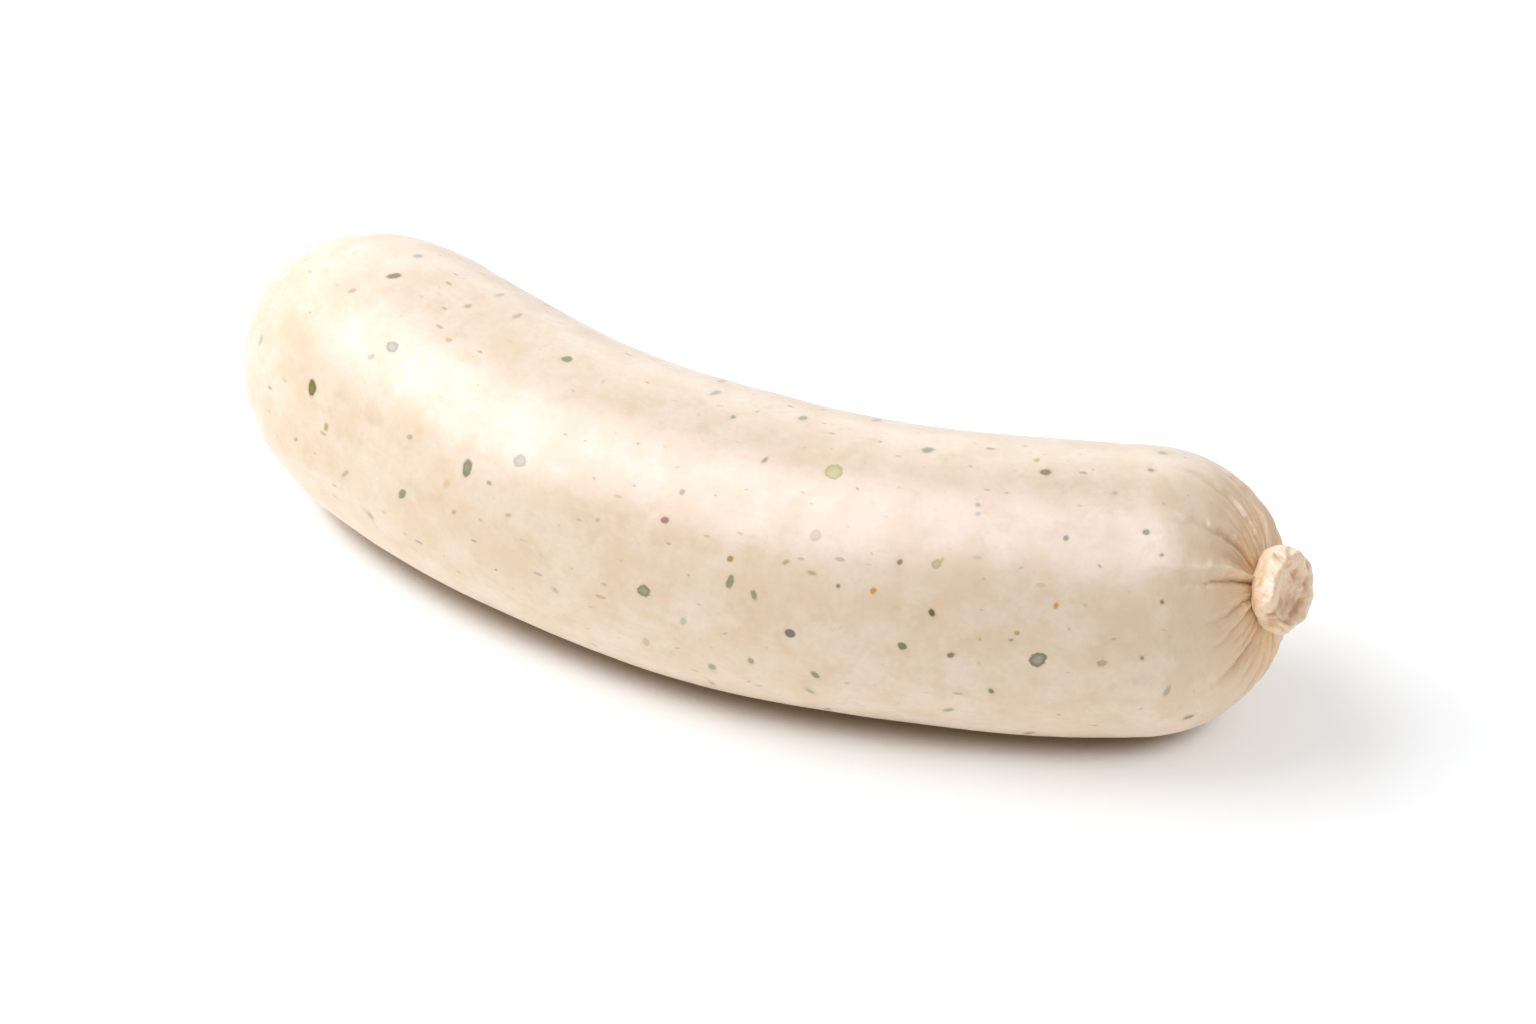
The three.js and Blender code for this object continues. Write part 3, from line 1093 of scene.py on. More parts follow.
def fleck_layer(n, name, colour, ragged, softness):
    """A colour with a layer of flecks over it: a soft halo, a ragged edge, a paler middle."""
    at = n.add("ShaderNodeSeparateXYZ", {0: n.attribute(f"{name}_at").outputs["Vector"]}).outputs
    tint = n.attribute(f"{name}_tint")
    half = n.attribute(f"{name}_half").outputs["Fac"]
    flat = n.length(n.add("ShaderNodeCombineXYZ", {0: at["X"], 1: at["Y"]}).outputs[0])
    distance = n.plus(flat, ragged)
    soft = n.over(softness, half)
    guard = n.ramp(at["Z"], 1.05, 1.35, 1.0, 0.0)
    body = n.ramp(distance, n.minus(1.0, soft), n.plus(1.0, soft), 1.0, 0.0)
    halo = n.ramp(distance, 0.6, n.math("MULTIPLY_ADD", soft, 3.0, 1.2), 1.0, 0.0)
    middle = n.times(n.ramp(distance, 0.2, 0.85, 1.0, 0.0), n.ramp(half, 0.3, 0.7))
    strength = n.times(guard, tint.outputs["Alpha"])
    rim = n.times(n.ramp(distance, 0.55, 1.0, 0.0, 0.45), n.ramp(half, 0.25, 0.6))
    clear_rim = n.times(rim, n.ramp(tint.outputs["Alpha"], 0.6, 0.9))
    rimmed = n.mix(clear_rim, tint.outputs["Color"], rgba(FLECK_COLOURS["olive"]))
    halo_share = n.times(halo, strength, 0.16)
    haloed = n.mix(halo_share, colour, tint.outputs["Color"])
    paler = n.mix(n.times(middle, 0.34), rimmed, haloed)
    return n.mix(n.times(body, strength), haloed, paler)


def filling_colour(n, unbent, colours):
    """Clouds of the filling, fine grain, and short streaks and smudges along the sausage."""
    clouds = n.noise(unbent, CLOUDS, 4.0, 0.6)
    warm = n.noise(n.vector("ADD", unbent, (0.3, 0.1, 0.2)), WARM_CLOUDS, 3.0, 0.65)
    grain = n.noise(unbent, GRAIN, 3.0, 0.6)
    streaks = n.noise(n.vector("MULTIPLY", unbent, (0.35, 1.0, 1.0)), STREAKS, 2.0, 0.5)
    smudges = n.noise(n.vector("MULTIPLY", unbent, (0.3, 1.0, 1.0)), SMUDGES, 2.0, 0.6)
    colour = n.mix(n.ramp(clouds, 0.34, 0.66), rgba(colours.filling), rgba(colours.filling_pale))
    patterns = (
        (warm, 0.5, 0.72, 0.5, colours.filling_warm),
        (streaks, 0.6, 0.8, 0.35, colours.filling_pale),
        (smudges, 0.62, 0.74, 0.4, colours.gathered),
        (grain, 0.35, 0.75, 0.22, colours.filling_warm),
    )
    for pattern, low, high, strength, paint in patterns:
        colour = n.mix(n.ramp(pattern, low, high, 0.0, strength), colour, rgba(paint))
    return colour


def dusted(n, colour, unbent):
    """A colour with a fine dust of herbs over it."""
    slanted = n.add("ShaderNodeMapping", {"Vector": unbent, "Rotation": (0.0, 0.3, 0.35),
                                          "Scale": (0.45, 1.0, 1.0)})
    dust = n.add("ShaderNodeTexVoronoi", {"Vector": slanted.outputs[0], "Scale": DUST, "Randomness": 1.0})
    pick = n.add("ShaderNodeSeparateColor", {0: dust.outputs["Color"]}).outputs
    size = n.ramp(pick[0], DUST_FREE, 1.0, 0.09, 0.2)
    edge = n.minus(dust.outputs["Distance"], size)
    picked = n.math("GREATER_THAN", pick[0], DUST_FREE)
    mask = n.times(n.ramp(edge, -0.06, 0.04, 1.0, 0.0), picked)
    share = n.times(mask, n.ramp(pick[2], 0.0, 1.0, 0.15, 0.6))
    kind = n.mix(n.ramp(pick[1], 0.4, 0.6), rgba(FLECK_COLOURS["ochre"]), rgba(FLECK_COLOURS["grey"]))
    return n.mix(share, colour, kind)


def gathered_colour(n, colour, place, tie, wrinkles, wrinkle_fade, colours):
    """A colour turned darker and yellower near a tie, with painted highlights on ridges and raised wrinkles,
    and painted shade in the creases and sunken wrinkles.
    """
    valley = n.attribute("valley").outputs["Fac"]
    near = n.math("GREATER_THAN", n.add("ShaderNodeSeparateXYZ", {0: place}).outputs["X"], 0.0)
    start = n.math("MULTIPLY_ADD", near, GATHERED_FURTHER, GATHERED_REACH)
    colour = n.mix(n.ramp(tie, 9 * MM, start, 0.92, 0.0), colour, rgba(colours.gathered))
    # Yellow-orange at the tie, partly painted light that lifts the knob's shade there
    colour = n.mix(n.ramp(tie, 4 * MM, 11 * MM, 0.85, 0.0), colour, rgba(colours.tie))
    # Painted highlight on the ridges beside the creases
    colour = n.mix(n.ramp(valley, -0.55, -0.1, 0.8, 0.0), colour, rgba(colours.ridge))
    # Painted shade deep in the creases, weaker right beside the tie
    painted_crease_shade_share = n.ramp(tie, 3.5 * MM, 8 * MM, 0.3, 0.6)
    colour = n.mix(n.times(n.ramp(valley, 0.15, 1.3), painted_crease_shade_share), colour, rgba(colours.valley))
    # Painted highlight on raised wrinkles and painted shade in sunken ones
    painted_wrinkle_light = n.times(n.ramp(wrinkles, 0.52, 0.64, 0.0, 0.75), wrinkle_fade)
    colour = n.mix(painted_wrinkle_light, colour, rgba(colours.ridge))
    painted_wrinkle_shade = n.times(n.ramp(wrinkles, 0.3, 0.46, 0.32, 0.0), wrinkle_fade)
    return n.mix(painted_wrinkle_shade, colour, rgba(colours.valley))


def new_material(name):
    """A new material, what adds its nodes, and its shader."""
    material = bpy.data.materials.new(name)
    material.use_nodes = True
    return material, Nodes(material.node_tree), material.node_tree.nodes["Principled BSDF"]


def bumped(n, shader, height):
    """Raises a shader's surface by a height in millimetres."""
    bump = n.add("ShaderNodeBump", {"Strength": 1.0, "Distance": MM, "Height": height})
    n.feed(shader.inputs["Normal"], bump.outputs["Normal"])


def moist(shader, subsurface, radius, scale, coat, coat_roughness):
    """Light goes a little way into the casing, and a thin coat of moisture lies on it."""
    shader.inputs["Subsurface Weight"].default_value = subsurface
    shader.inputs["Subsurface Radius"].default_value = radius
    shader.inputs["Subsurface Scale"].default_value = scale
    shader.inputs["Coat Weight"].default_value = coat
    shader.inputs["Coat Roughness"].default_value = coat_roughness
    shader.inputs["IOR"].default_value = CASING_IOR


def skin_material(colours):
    """Moist pale casing over the herb filling: clouds, streaks, flecks, pleats with painted shade and
    painted highlights, and fine crinkles.
    """
    material, n, shader = new_material("sausage casing")
    unbent = n.attribute("unbent").outputs["Vector"]
    tie = n.attribute("tie").outputs["Fac"]
    wrinkles = n.noise(n.attribute("spokes").outputs["Vector"], WRINKLES, 3.0, 0.6)
    wrinkle_fade = n.ramp(tie, 3.5 * MM, 15 * MM, 1.0, 0.0)

    # Small flecks scattered all over lie under the large ones
    colour = dusted(n, filling_colour(n, unbent, colours), unbent)
    ragged = n.times(n.minus(n.noise(unbent, RAGGED_EDGE, 2.0, 0.6), 0.5), 0.9)
    colour = fleck_layer(n, "speck", colour, ragged, 0.09)
    colour = fleck_layer(n, "fleck", colour, ragged, 0.10)
    # Darker and yellower near the ties, with painted shade in the creases and painted highlights on the
    # ridges
    colour = gathered_colour(n, colour, unbent, tie, wrinkles, wrinkle_fade, colours)
    n.feed(shader.inputs["Base Color"], colour)

    # Crinkles of the casing, and fine wrinkles that run into a tie
    oblique = n.add("ShaderNodeMapping", {"Vector": unbent, "Rotation": (0.0, 0.5, 0.9),
                                          "Scale": (1.0, 0.72, 0.72)})
    crinkles = n.noise(oblique.outputs[0], CRINKLES, 2.0, 0.6, 0.6)
    curls = n.noise(oblique.outputs[0], CURLS, 1.0, 0.5, 1.8)
    lines = n.ramp(n.math("ABSOLUTE", n.minus(curls, 0.5)), 0.0, 0.09)
    pebbles = n.noise(unbent, PEBBLES, 2.0, 0.5)
    patches = n.ramp(n.noise(unbent, PATCHES), 0.4, 0.6, 0.2, 1.0)
    height = n.plus(n.times(crinkles, 0.003), n.times(pebbles, 0.035))
    height = n.plus(height, n.times(lines, patches, 0.005))
    height = n.plus(height, n.times(wrinkles, wrinkle_fade, 0.3))
    bumped(n, shader, height)
    n.feed(shader.inputs["Roughness"], n.ramp(pebbles, 0.3, 0.7, 0.29, 0.39))
    moist(shader, 0.2, (1.0, 0.6, 0.35), 1.2 * MM, 0.22, 0.42)
    return material


def knob_material(colours):
    """Twisted-off casing, thick and moist, with random darker clouds and veins, and painted shade in its
    folds and recess.
    """
    material, n, shader = new_material("twisted casing")
    place = n.add("ShaderNodeTexCoord").outputs["Object"]
    painted_knob_shade = n.attribute("painted_knob_shade").outputs["Fac"]
    clouds = n.noise(place, KNOB_CLOUDS, 3.0, 0.65, 0.5)
    veins = n.noise(n.vector("MULTIPLY", place, (0.5, 1.0, 1.6)), KNOB_VEINS, 3.0, 0.6, 0.6)
    # Random darker clouds, with the painted shade of the folds and the recess
    shade = n.math("MULTIPLY_ADD", n.minus(clouds, 0.5), 1.4, painted_knob_shade)
    colour = n.mix(n.ramp(shade, 0.05, 0.95), rgba(colours.knob), rgba(colours.knob_shade))
    colour = n.mix(n.ramp(veins, 0.5, 0.75, 0.0, 0.4), colour, rgba(colours.knob_shade))
    n.feed(shader.inputs["Base Color"], colour)
    height = n.plus(n.times(veins, 0.20), n.times(clouds, 0.12))
    bumped(n, shader, height)
    n.feed(shader.inputs["Roughness"], n.ramp(clouds, 0.3, 0.7, 0.28, 0.42))
    moist(shader, 0.3, (1.0, 0.5, 0.25), 1.5 * MM, 0.22, 0.2)
    return material


# Knobs

class Lobe(NamedTuple):
    """A bulge or a dent in a knob's rim. Angles in degrees, growth in millimetres."""

    angle: float
    width: float
    growth: float


class Stroke(NamedTuple):
    """A fold seen on the knob: its pixels in the photograph, its depth and its width in millimetres.

    A depth below 0 is a ridge.
    """

    depth: float
    width: float
    pixels: list


KNOB_STROKES = [
    Stroke(0.45, 0.30, [(1276, 554), (1283, 561), (1290, 565)]),
    Stroke(0.30, 0.25, [(1290, 547), (1292, 556), (1297, 564)]),
    Stroke(0.35, 0.25, [(1287, 567), (1295, 573), (1300, 580), (1304, 584)]),
    Stroke(0.25, 0.20, [(1292, 565), (1299, 572), (1303, 578)]),
    Stroke(-0.35, 0.35, [(1297, 553), (1301, 559), (1304, 569)]),
    Stroke(-0.40, 0.38, [(1282, 568), (1277, 576), (1275, 588), (1271, 601), (1267, 612)]),
    Stroke(0.50, 0.22, [(1308, 560), (1308, 575), (1306, 589), (1302, 602), (1296, 612), (1288, 621)]),
    Stroke(-0.25, 0.22, [(1304, 583), (1302, 596), (1297, 607), (1290, 616)]),
    Stroke(0.30, 0.16, [(1301, 599), (1296, 609), (1289, 616)]),
    Stroke(0.45, 0.20, [(1267, 616), (1272, 617), (1277, 616)]),
    Stroke(0.40, 0.18, [(1268, 621), (1276, 622), (1281, 620)]),
    Stroke(0.35, 0.22, [(1270, 626), (1278, 627), (1284, 630)]),
    Stroke(0.30, 0.22, [(1285, 622), (1291, 623)]),
    Stroke(0.22, 0.32, [(1264, 566), (1260, 574), (1258, 584)]),
    Stroke(-0.22, 0.22, [(1266, 567), (1270, 575), (1272, 580)]),
    Stroke(0.28, 0.34, [(1253, 603), (1259, 602), (1264, 598)]),
    Stroke(0.22, 0.25, [(1262, 610), (1269, 607)]),
    Stroke(0.2, 0.16, [(1283, 573), (1286, 588), (1284, 602), (1278, 613)]),
    Stroke(0.17, 0.16, [(1290, 573), (1293, 588), (1290, 602), (1284, 613)]),
    Stroke(-0.14, 0.16, [(1280, 578), (1281, 591), (1277, 605)]),
    Stroke(0.15, 0.14, [(1296, 576), (1298, 589), (1295, 602), (1289, 612)]),
    Stroke(-0.16, 0.3, [(1271, 573), (1266, 583), (1263, 596), (1264, 607)]),
]
KNOB_RECESS = [(1284, 567), (1290, 567), (1297, 573), (1303, 583), (1304, 592), (1300, 604), (1292, 616),
               (1284, 621), (1275, 619), (1269, 615), (1272, 603), (1276, 590), (1278, 577)]

# The folds as they are pressed in: share of their depth, spread of their width, and how much painted shade
# they get
FOLD_DEPTH = 0.72
FOLD_SPREAD = 1.35
FOLD_SHADE = 1.5

# How deep the middle of the knob lies, and how softly that starts
RECESS_DEPTH = 0.3 * MM
RECESS_EDGE = 0.5 * MM

# Rows of the photograph between which the recess's painted shade grows darker towards the bottom, and how
# much painted shade it gets at each
RECESS_ROWS = (572, 612)
RECESS_SHADES = (0.0, 0.5)


class Knob(NamedTuple):
    """A crumpled knob past a tie."""

    end: End
    turn: float
    rise: float
    ruffle_depth: float
    ruffle_lift: float
    ruffle_phase: float
    lobes: list


# Outline of a knob, in millimetres: distance past the tie, radius
KNOB_OUTLINE = [
    (0.0, 1.9), (0.1, 2.6), (0.35, 3.7), (1.0, 4.45), (2.1, 4.8), (3.1, 4.65), (3.75, 4.2),
    (3.9, 3.5), (3.75, 2.7), (3.55, 1.7), (3.45, 0.8), (3.4, 0.0),
]
KNOB_ROWS = 110
KNOB_COLUMNS = 200

# Rows over which the crumples start, beside the tie
CALM_ROWS = 12

# How far inside the skin a knob starts
KNOB_ROOT = 0.5 * MM

# How fine the crumples of a knob are, in repeats per metre: soft ones, sharp ridges and a fine grain
SOFT_CRUMPLES = 380
RIDGED_CRUMPLES = 560
FINE_CRUMPLES = 1500


def near_knob(shape):
    """The knob that the camera sees."""
    lobes = [Lobe(245, 34, -0.5), Lobe(106, 17, -0.4), Lobe(160, 14, 0.15), Lobe(193, 8, -0.25),
             Lobe(330, 30, 0.2)]
    return Knob(near_end(shape), math.radians(-5), math.radians(-10), 0.03, 0.25, math.radians(50), lobes)


def far_knob(shape):
    """The knob behind."""
    lobes = [Lobe(30, 26, -0.35), Lobe(120, 20, 0.25), Lobe(215, 24, -0.4), Lobe(300, 16, 0.2)]
    return Knob(far_end(shape), math.radians(4), math.radians(5), 0.05, 0.35, math.radians(120), lobes)


def outline_at(share):
    """A point of the knob's outline on a smooth curve through its points."""
    last = len(KNOB_OUTLINE) - 1
    place = share * last
    index = min(int(place), last - 1)
    t = place - index
    p0, p1, p2, p3 = (KNOB_OUTLINE[min(max(index + k, 0), last)] for k in (-1, 0, 1, 2))
    point = []
    for a, b, c, d in zip(p0, p1, p2, p3):
        slope_in = (c - a) / 2
        slope_out = (d - b) / 2
        cubic = 2 * b - 2 * c + slope_in + slope_out
        square = -3 * b + 3 * c - 2 * slope_in - slope_out
        point.append(((cubic * t + square) * t + slope_in) * t + b)
    return point[0] * MM, max(point[1], 0.0) * MM


def ruffle(knob, angle):
    """Uneven folds round a knob: an oval, a three-fold and a five-fold wave."""
    turn = angle - knob.ruffle_phase
    fine = math.sin(5 * angle + knob.ruffle_phase)
    return 0.9 * math.cos(2 * turn) + 0.8 * math.sin(3 * turn) + 0.6 * fine


def lobe_growth(knob, angle):
    """How far the lobes push the rim out, at an angle."""
    total = 0.0
    for lobe in knob.lobes:
        turn = math.degrees(math.remainder(angle - math.radians(lobe.angle), math.tau))
        total += lobe.growth * math.exp(-((turn / lobe.width) ** 2))
    return total * MM


def knob_point(shape, knob, share, angle):
    """A point of a knob's smooth surface."""
    neck, tie = tie_of(shape, knob.end)
    distance, radius = outline_at(share)
    axis = turned(tie, knob.turn * share, knob.rise * share)
    across, above = ring_axes(knob.end.side, axis)
    spread = (radius / shape.knob_radius) ** 2
    wave = ruffle(knob, angle)
    reach = radius * (1 + knob.ruffle_depth * spread * wave) + lobe_growth(knob, angle) * spread
    lift = knob.ruffle_lift * MM * spread * share * wave
    way = across * math.cos(angle) + above * math.sin(angle)
    return neck + axis * (distance + lift) + way * reach


def knob_base(shape, knob, name):
    """The smooth closed surface of a knob."""
    angles = [math.tau * column / KNOB_COLUMNS for column in range(KNOB_COLUMNS)]
    shares = [row / KNOB_ROWS for row in range(KNOB_ROWS)]
    points = [knob_point(shape, knob, share, angle) for share in shares for angle in angles]
    neck, tie = tie_of(shape, knob.end)
    points.append(neck - tie * KNOB_ROOT)
    points.append(neck + turned(tie, knob.turn, knob.rise) * outline_at(1.0)[0])
    first = len(points) - 2
    last_row = (KNOB_ROWS - 1) * KNOB_COLUMNS
    faces = []
    for column in range(KNOB_COLUMNS):
        after = (column + 1) % KNOB_COLUMNS
        faces.append((first, after, column))
        faces.append((first + 1, last_row + column, last_row + after))
        for low in range(0, last_row, KNOB_COLUMNS):
            high = low + KNOB_COLUMNS
            faces.append((low + column, low + after, high + after, high + column))
    mesh = bpy.data.meshes.new(name)
    mesh.from_pydata(points, [], faces)
    face_outwards(mesh)
    return mesh


def pixels_of(look, points):
    """Pixels of the photograph at which points lie, and how wide a pixel is there."""
    place, right, up, back = (np.array(axis) for axis in camera_axes(look))
    away = points - place
    size = -(away @ back) * pixel_width(look)
    px = PHOTO_WIDTH / 2 + (away @ right) / size
    py = PHOTO_HEIGHT / 2 - (away @ up) / size
    return np.stack([px, py], 1), size.mean()


def line_distance(pixels, line):
    """Distances from pixels to a line through several points."""
    nearest = np.full(len(pixels), np.inf)
    for start, end in zip(line[:-1], line[1:]):
        start = np.array(start, float)
        step = np.array(end, float) - start
        share = np.clip(((pixels - start) @ step) / (step @ step), 0, 1)
        gap = np.linalg.norm(pixels - start - share[:, None] * step, axis=1)
        nearest = np.minimum(nearest, gap)
    return nearest


def inside(pixels, outline):
    """Whether pixels lie inside a closed outline."""
    result = np.zeros(len(pixels), bool)
    for (x0, y0), (x1, y1) in zip(outline, outline[1:] + outline[:1]):
        spans = (y0 > pixels[:, 1]) != (y1 > pixels[:, 1])
        crossing = x0 + (pixels[:, 1] - y0) * (x1 - x0) / ((y1 - y0) or 1e-9)
        result ^= spans & (pixels[:, 0] < crossing)
    return result


def seen_folds(look, points, normals):
    """Depth of the folds seen on the knob at each of its points, and how much painted shade each point gets.
    """
    pixels, size = pixels_of(look, points)
    back = np.array(camera_axes(look)[3])
    facing = np.clip((normals @ back) * 4, 0, 1)
    depth = np.zeros(len(points))
    shade = np.zeros(len(points))
    for stroke in KNOB_STROKES:
        gap = line_distance(pixels, stroke.pixels) * size / MM
        mark = FOLD_DEPTH * stroke.depth * np.exp(-((gap / stroke.width / FOLD_SPREAD) ** 2))
        depth += mark * MM
        shade += np.clip(mark, -0.2, 1) * FOLD_SHADE
    edge = line_distance(pixels, KNOB_RECESS + KNOB_RECESS[:1]) * size
    signed = np.where(inside(pixels, KNOB_RECESS), edge, -edge)
    recess = 1 / (1 + np.exp(-signed / RECESS_EDGE * 2))
    depth += RECESS_DEPTH * recess
    shade += np.interp(pixels[:, 1], RECESS_ROWS, RECESS_SHADES) * recess
    return depth * facing, shade * facing


def crumple(point):
    """Height of fine crumples at a point, about 0, in millimetres."""
    soft = noise.noise(point * SOFT_CRUMPLES) * 0.22
    ridged = 0.07 - abs(noise.noise(point * RIDGED_CRUMPLES + Vector((7, 3, 1)))) * 0.24
    return soft + ridged + noise.noise(point * FINE_CRUMPLES) * 0.035


def knob_mesh(shape, knob, name, fields):
    """A crumpled knob; fields are the depth of its folds and their painted shade, at each point."""
    mesh = knob_base(shape, knob, name)
    points = read_vectors(mesh.vertices, "co")
    normals = read_vectors(mesh.vertex_normals, "vector")
    depth, shade = fields
    rough = np.array([crumple(Vector(point)) for point in points])
    clear = np.ones(len(points))
    growing = np.clip(np.arange(KNOB_ROWS) / CALM_ROWS, 0, 1)
    clear[:KNOB_ROWS * KNOB_COLUMNS] = np.repeat(growing, KNOB_COLUMNS)
    moved = points + normals * (clear * (rough * MM - depth))[:, None]
    mesh.vertices.foreach_set("co", moved.ravel())
    # Painted shade: darker in the folds, the recess and the crumples' dents, lighter on their bumps
    keep(mesh, "painted_knob_shade", "FLOAT", np.clip(shade - rough * 1.2 + 0.1, 0, 1))
    mesh.polygons.foreach_set("use_smooth", [True] * len(mesh.polygons))
    mesh.update()
    return mesh


def turned_folds(field):
    """The folds of the knob in view, turned round for the one behind."""
    grid = KNOB_ROWS * KNOB_COLUMNS
    rolled = np.roll(field[:grid].reshape(KNOB_ROWS, KNOB_COLUMNS)[:, ::-1], KNOB_COLUMNS // 3, axis=1)
    return np.concatenate([rolled.ravel(), field[grid:]])


# Operators

class SAUSAGE_OT_skin(bpy.types.Operator):
    """Builds the pleated skin of the sausage with its herb flecks"""

    bl_idname = "sausage.skin"
    bl_label = "Skin"

    def execute(self, context):
        shape = context.scene.sausage_shape
        rings = skin_rings(shape)
        source = object_of("skin_spine", spine_mesh(rings))
        material = skin_material(context.scene.sausage_colours)
        values = {"Columns": SKIN_COLUMNS, "Swell height": shape.swell_height,
                  "Swell length": shape.swell_length, "Skin": material}
        mesh = grown(source, skin_tree(shape, len(rings)), values)
        bpy.data.objects.remove(source)
        face_outwards(mesh)
        skin = object_of("skin", mesh)
        context.view_layer.update()
        look = context.scene.sausage_stage
        back = camera_axes(look)[3]
        seen, crowded = two_layers(seen_spots(look, skin), FLECK_GAP)
        large = seen + scattered_spots(skin, LARGE_SCATTER, seen, back)
        small = crowded + scattered_spots(skin, SMALL_SCATTER, crowded + seen)
        write_spots(mesh, "fleck", large)
        write_spots(mesh, "speck", small)
        finished(skin)
        return {"FINISHED"}


class SAUSAGE_OT_knobs(bpy.types.Operator):
    """Builds the crumpled knobs past the two ties"""

    bl_idname = "sausage.knobs"
    bl_label = "Knobs"

    def execute(self, context):
        shape = context.scene.sausage_shape
        look = context.scene.sausage_stage
        material = knob_material(context.scene.sausage_colours)
        base = knob_base(shape, near_knob(shape), "knob_near_base")
        points = read_vectors(base.vertices, "co")
        fields = seen_folds(look, points, read_vectors(base.vertex_normals, "vector"))
        turned_fields = [turned_folds(field) for field in fields]
        bpy.data.meshes.remove(base)
        knobs = (("knob_near", near_knob(shape), fields), ("knob_far", far_knob(shape), turned_fields))
        for name, knob, given in knobs:
            mesh = knob_mesh(shape, knob, name, given)
            mesh.materials.append(material)
            finished(object_of(name, mesh))
        return {"FINISHED"}


class SoftLight(NamedTuple):
    """A large soft light: its way in degrees, its distance and its size in metres.

    Its way is measured from straight up: tilt to the picture's right, pitch towards the camera.
    """

    tilt: float
    pitch: float
    distance: float
    width: float
    height: float


KEY_LIGHT = SoftLight(-42, -8, 0.8, 0.8, 0.7)
SHEEN_LIGHT = SoftLight(-18, 8, 0.8, 1.25, 0.85)
BACK_LIGHT = SoftLight(-14, -65, 0.9, 1.6, 0.9)

# The floor reaches this far to each side
FLOOR_REACH = 4.0
FLOOR_WHITE = (0.945, 0.96, 0.98)
# Painted shadow: the floor's colour right beside what stands on it; painted glow: light the floor gives off
# by itself away from it
FLOOR_PAINTED_SHADOW = (0.41, 0.305, 0.20)
FLOOR_PAINTED_GLOW = 0.22

# How far the floor looks round for what shades it, and with how many rays
SHADE_REACH = 30 * MM
SHADE_RAYS = 24

# Shares of open sky between which the floor's painted shadow gives way to white, and its painted glow comes
# in
COLOUR_SKY = (0.17, 0.345)
GLOW_SKY = (0.2, 0.36)


def soft_light(name, look, kind, power):
    """A soft light that shines at the camera's target."""
    _, right, _, back = camera_axes(look)
    towards_camera = Vector((back.x, back.y, 0)).normalized()
    tilt = math.radians(kind.tilt)
    pitch = math.radians(kind.pitch)
    way = (towards_camera * math.sin(pitch) + UP * math.cos(pitch)) * math.cos(tilt) + right * math.sin(tilt)
    sideways = (right - way * right.dot(way)).normalized()
    data = bpy.data.lights.new(name, "AREA")
    data.shape = "RECTANGLE"
    data.size = kind.width
    data.size_y = kind.height
    data.energy = power
    light = object_of(name, data)
    light.location = Vector(look.target) + way * kind.distance
    light.rotation_euler = Matrix((sideways, way.cross(sideways), way)).transposed().to_euler()
    return light


def floor_material():
    """Seamless bright white paper that gives off a painted glow, with painted shadow right beside what
    stands on it.
    """
    material, n, shader = new_material("studio floor")
    open_sky = n.add("ShaderNodeAmbientOcclusion", {"Distance": SHADE_REACH}, samples=SHADE_RAYS)
    # Painted shadow where little open sky is seen, and a painted glow that fades out there
    shade = n.ramp(open_sky.outputs["AO"], *COLOUR_SKY)
    n.feed(shader.inputs["Base Color"], n.mix(shade, rgba(FLOOR_PAINTED_SHADOW), rgba(FLOOR_WHITE)))
    clear = n.ramp(open_sky.outputs["AO"], *GLOW_SKY)
    n.feed(shader.inputs["Emission Color"], n.mix(clear, (0, 0, 0, 1), (1, 1, 1, 1)))
    shader.inputs["Emission Strength"].default_value = FLOOR_PAINTED_GLOW
    shader.inputs["Roughness"].default_value = 1.0
    shader.inputs["Specular IOR Level"].default_value = 0.0
    return material


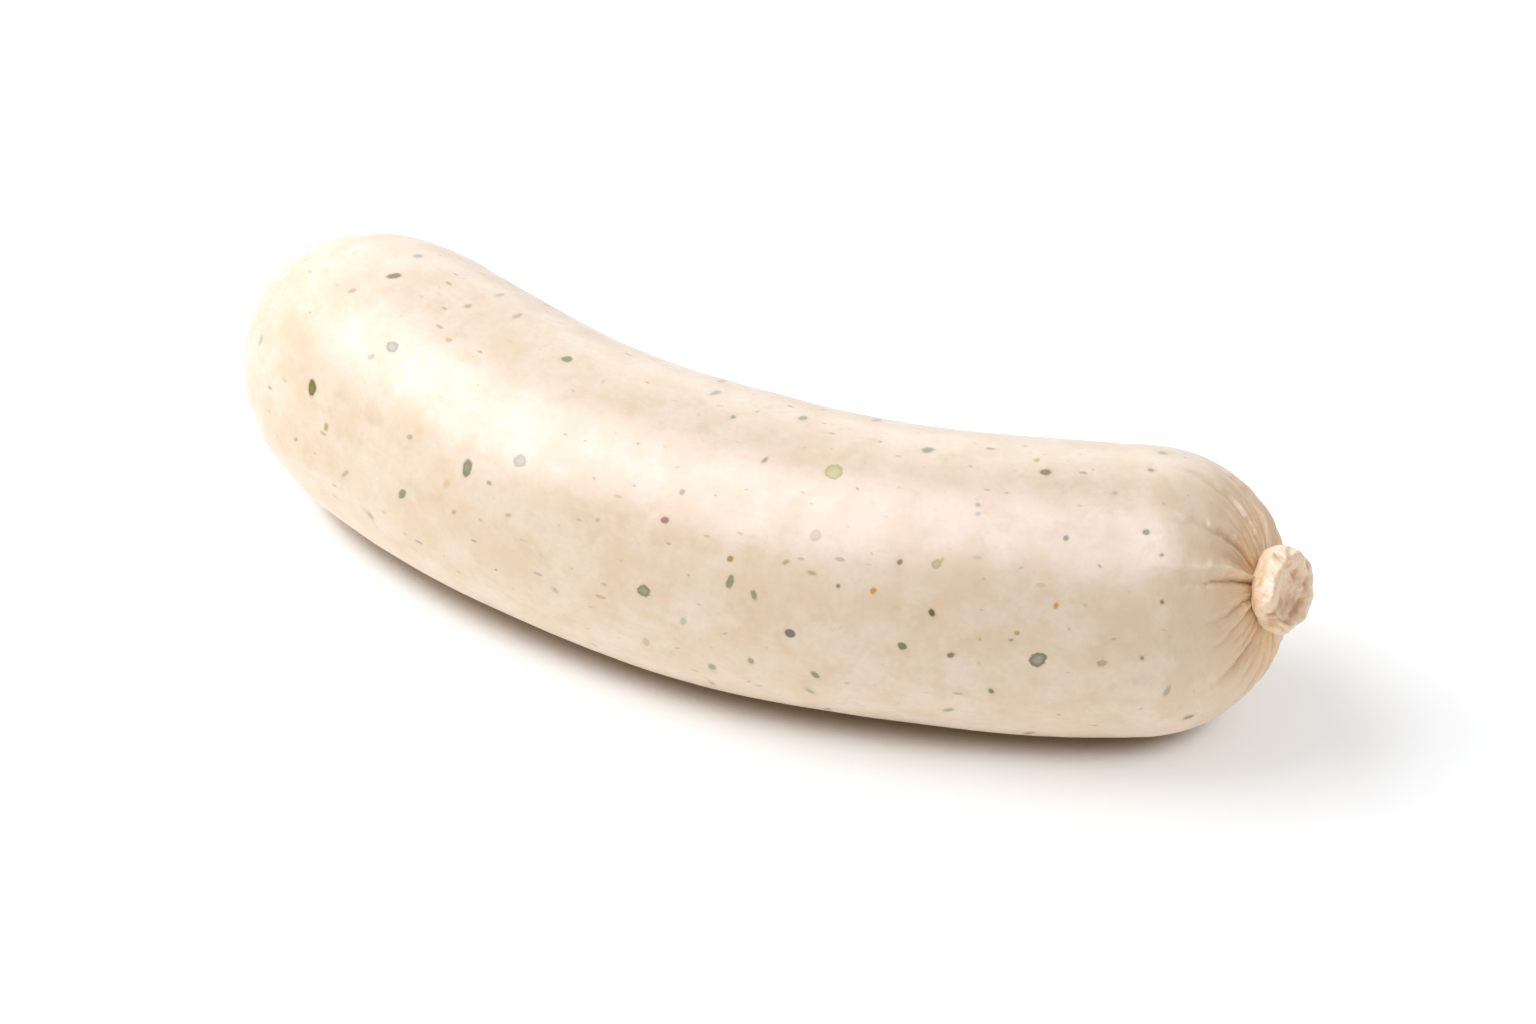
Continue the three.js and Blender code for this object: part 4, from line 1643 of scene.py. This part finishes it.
class SAUSAGE_OT_stage(bpy.types.Operator):
    """Lays the pale floor and sets the soft lights and the camera"""

    bl_idname = "sausage.stage"
    bl_label = "Stage"

    def execute(self, context):
        look = context.scene.sausage_stage
        mesh = bpy.data.meshes.new("floor")
        reach = FLOOR_REACH
        corners = [(-reach, -reach, 0), (reach, -reach, 0), (reach, reach, 0), (-reach, reach, 0)]
        mesh.from_pydata(corners, [], [(0, 1, 2, 3)])
        mesh.materials.append(floor_material())
        object_of("floor", mesh)

        soft_light("key_softbox", look, KEY_LIGHT, look.box_power)
        sheens = (("sheen_softbox", SHEEN_LIGHT, look.sheen_power, look.sheen_colour),
                  ("back_softbox", BACK_LIGHT, look.back_power, look.back_colour))
        for name, kind, power, colour in sheens:
            sheen = soft_light(name, look, kind, power)
            sheen.data.color = colour
            sheen.visible_diffuse = False

        world = bpy.data.worlds.new("studio")
        world.use_nodes = True
        background = world.node_tree.nodes["Background"]
        background.inputs["Color"].default_value = (1.0, 1.0, 1.0, 1.0)
        background.inputs["Strength"].default_value = look.sky
        context.scene.world = world
        context.scene.view_settings.view_transform = "Standard"

        data = bpy.data.cameras.new("camera")
        data.lens = look.lens
        data.sensor_width = SENSOR_WIDTH
        data.clip_start = 0.05
        camera = object_of("camera", data)
        place, _, _, back = camera_axes(look)
        camera.location = place
        camera.rotation_euler = (-back).to_track_quat("-Z", "Y").to_euler()
        context.scene.camera = camera
        return {"FINISHED"}


class SAUSAGE_PT_panel(bpy.types.Panel):
    """Buttons that build the sausage piece by piece"""

    bl_idname = "SAUSAGE_PT_panel"
    bl_label = "Herb Sausage"
    bl_space_type = "VIEW_3D"
    bl_region_type = "UI"
    bl_category = "Sausage"

    def draw(self, context):
        for operator in OPERATORS:
            self.layout.operator(operator.bl_idname)
        scene = context.scene
        for settings in (scene.sausage_shape, scene.sausage_colours, scene.sausage_stage):
            box = self.layout.box()
            for name in settings.__annotations__:
                box.prop(settings, name)


OPERATORS = (SAUSAGE_OT_stage, SAUSAGE_OT_skin, SAUSAGE_OT_knobs)
CLASSES = (SausageShape, SausageColours, StageLook, *OPERATORS, SAUSAGE_PT_panel)


def register():
    """Registers the classes and keeps the settings on the scene."""
    for one in CLASSES:
        bpy.utils.register_class(one)
    bpy.types.Scene.sausage_shape = bpy.props.PointerProperty(type=SausageShape)
    bpy.types.Scene.sausage_colours = bpy.props.PointerProperty(type=SausageColours)
    bpy.types.Scene.sausage_stage = bpy.props.PointerProperty(type=StageLook)


def unregister():
    """Takes the settings and the classes away again."""
    del bpy.types.Scene.sausage_stage
    del bpy.types.Scene.sausage_colours
    del bpy.types.Scene.sausage_shape
    for one in reversed(CLASSES):
        bpy.utils.unregister_class(one)


def main():
    register()
    bpy.ops.sausage.stage()
    bpy.ops.sausage.skin()
    bpy.ops.sausage.knobs()


if __name__ == "__main__":
    main()
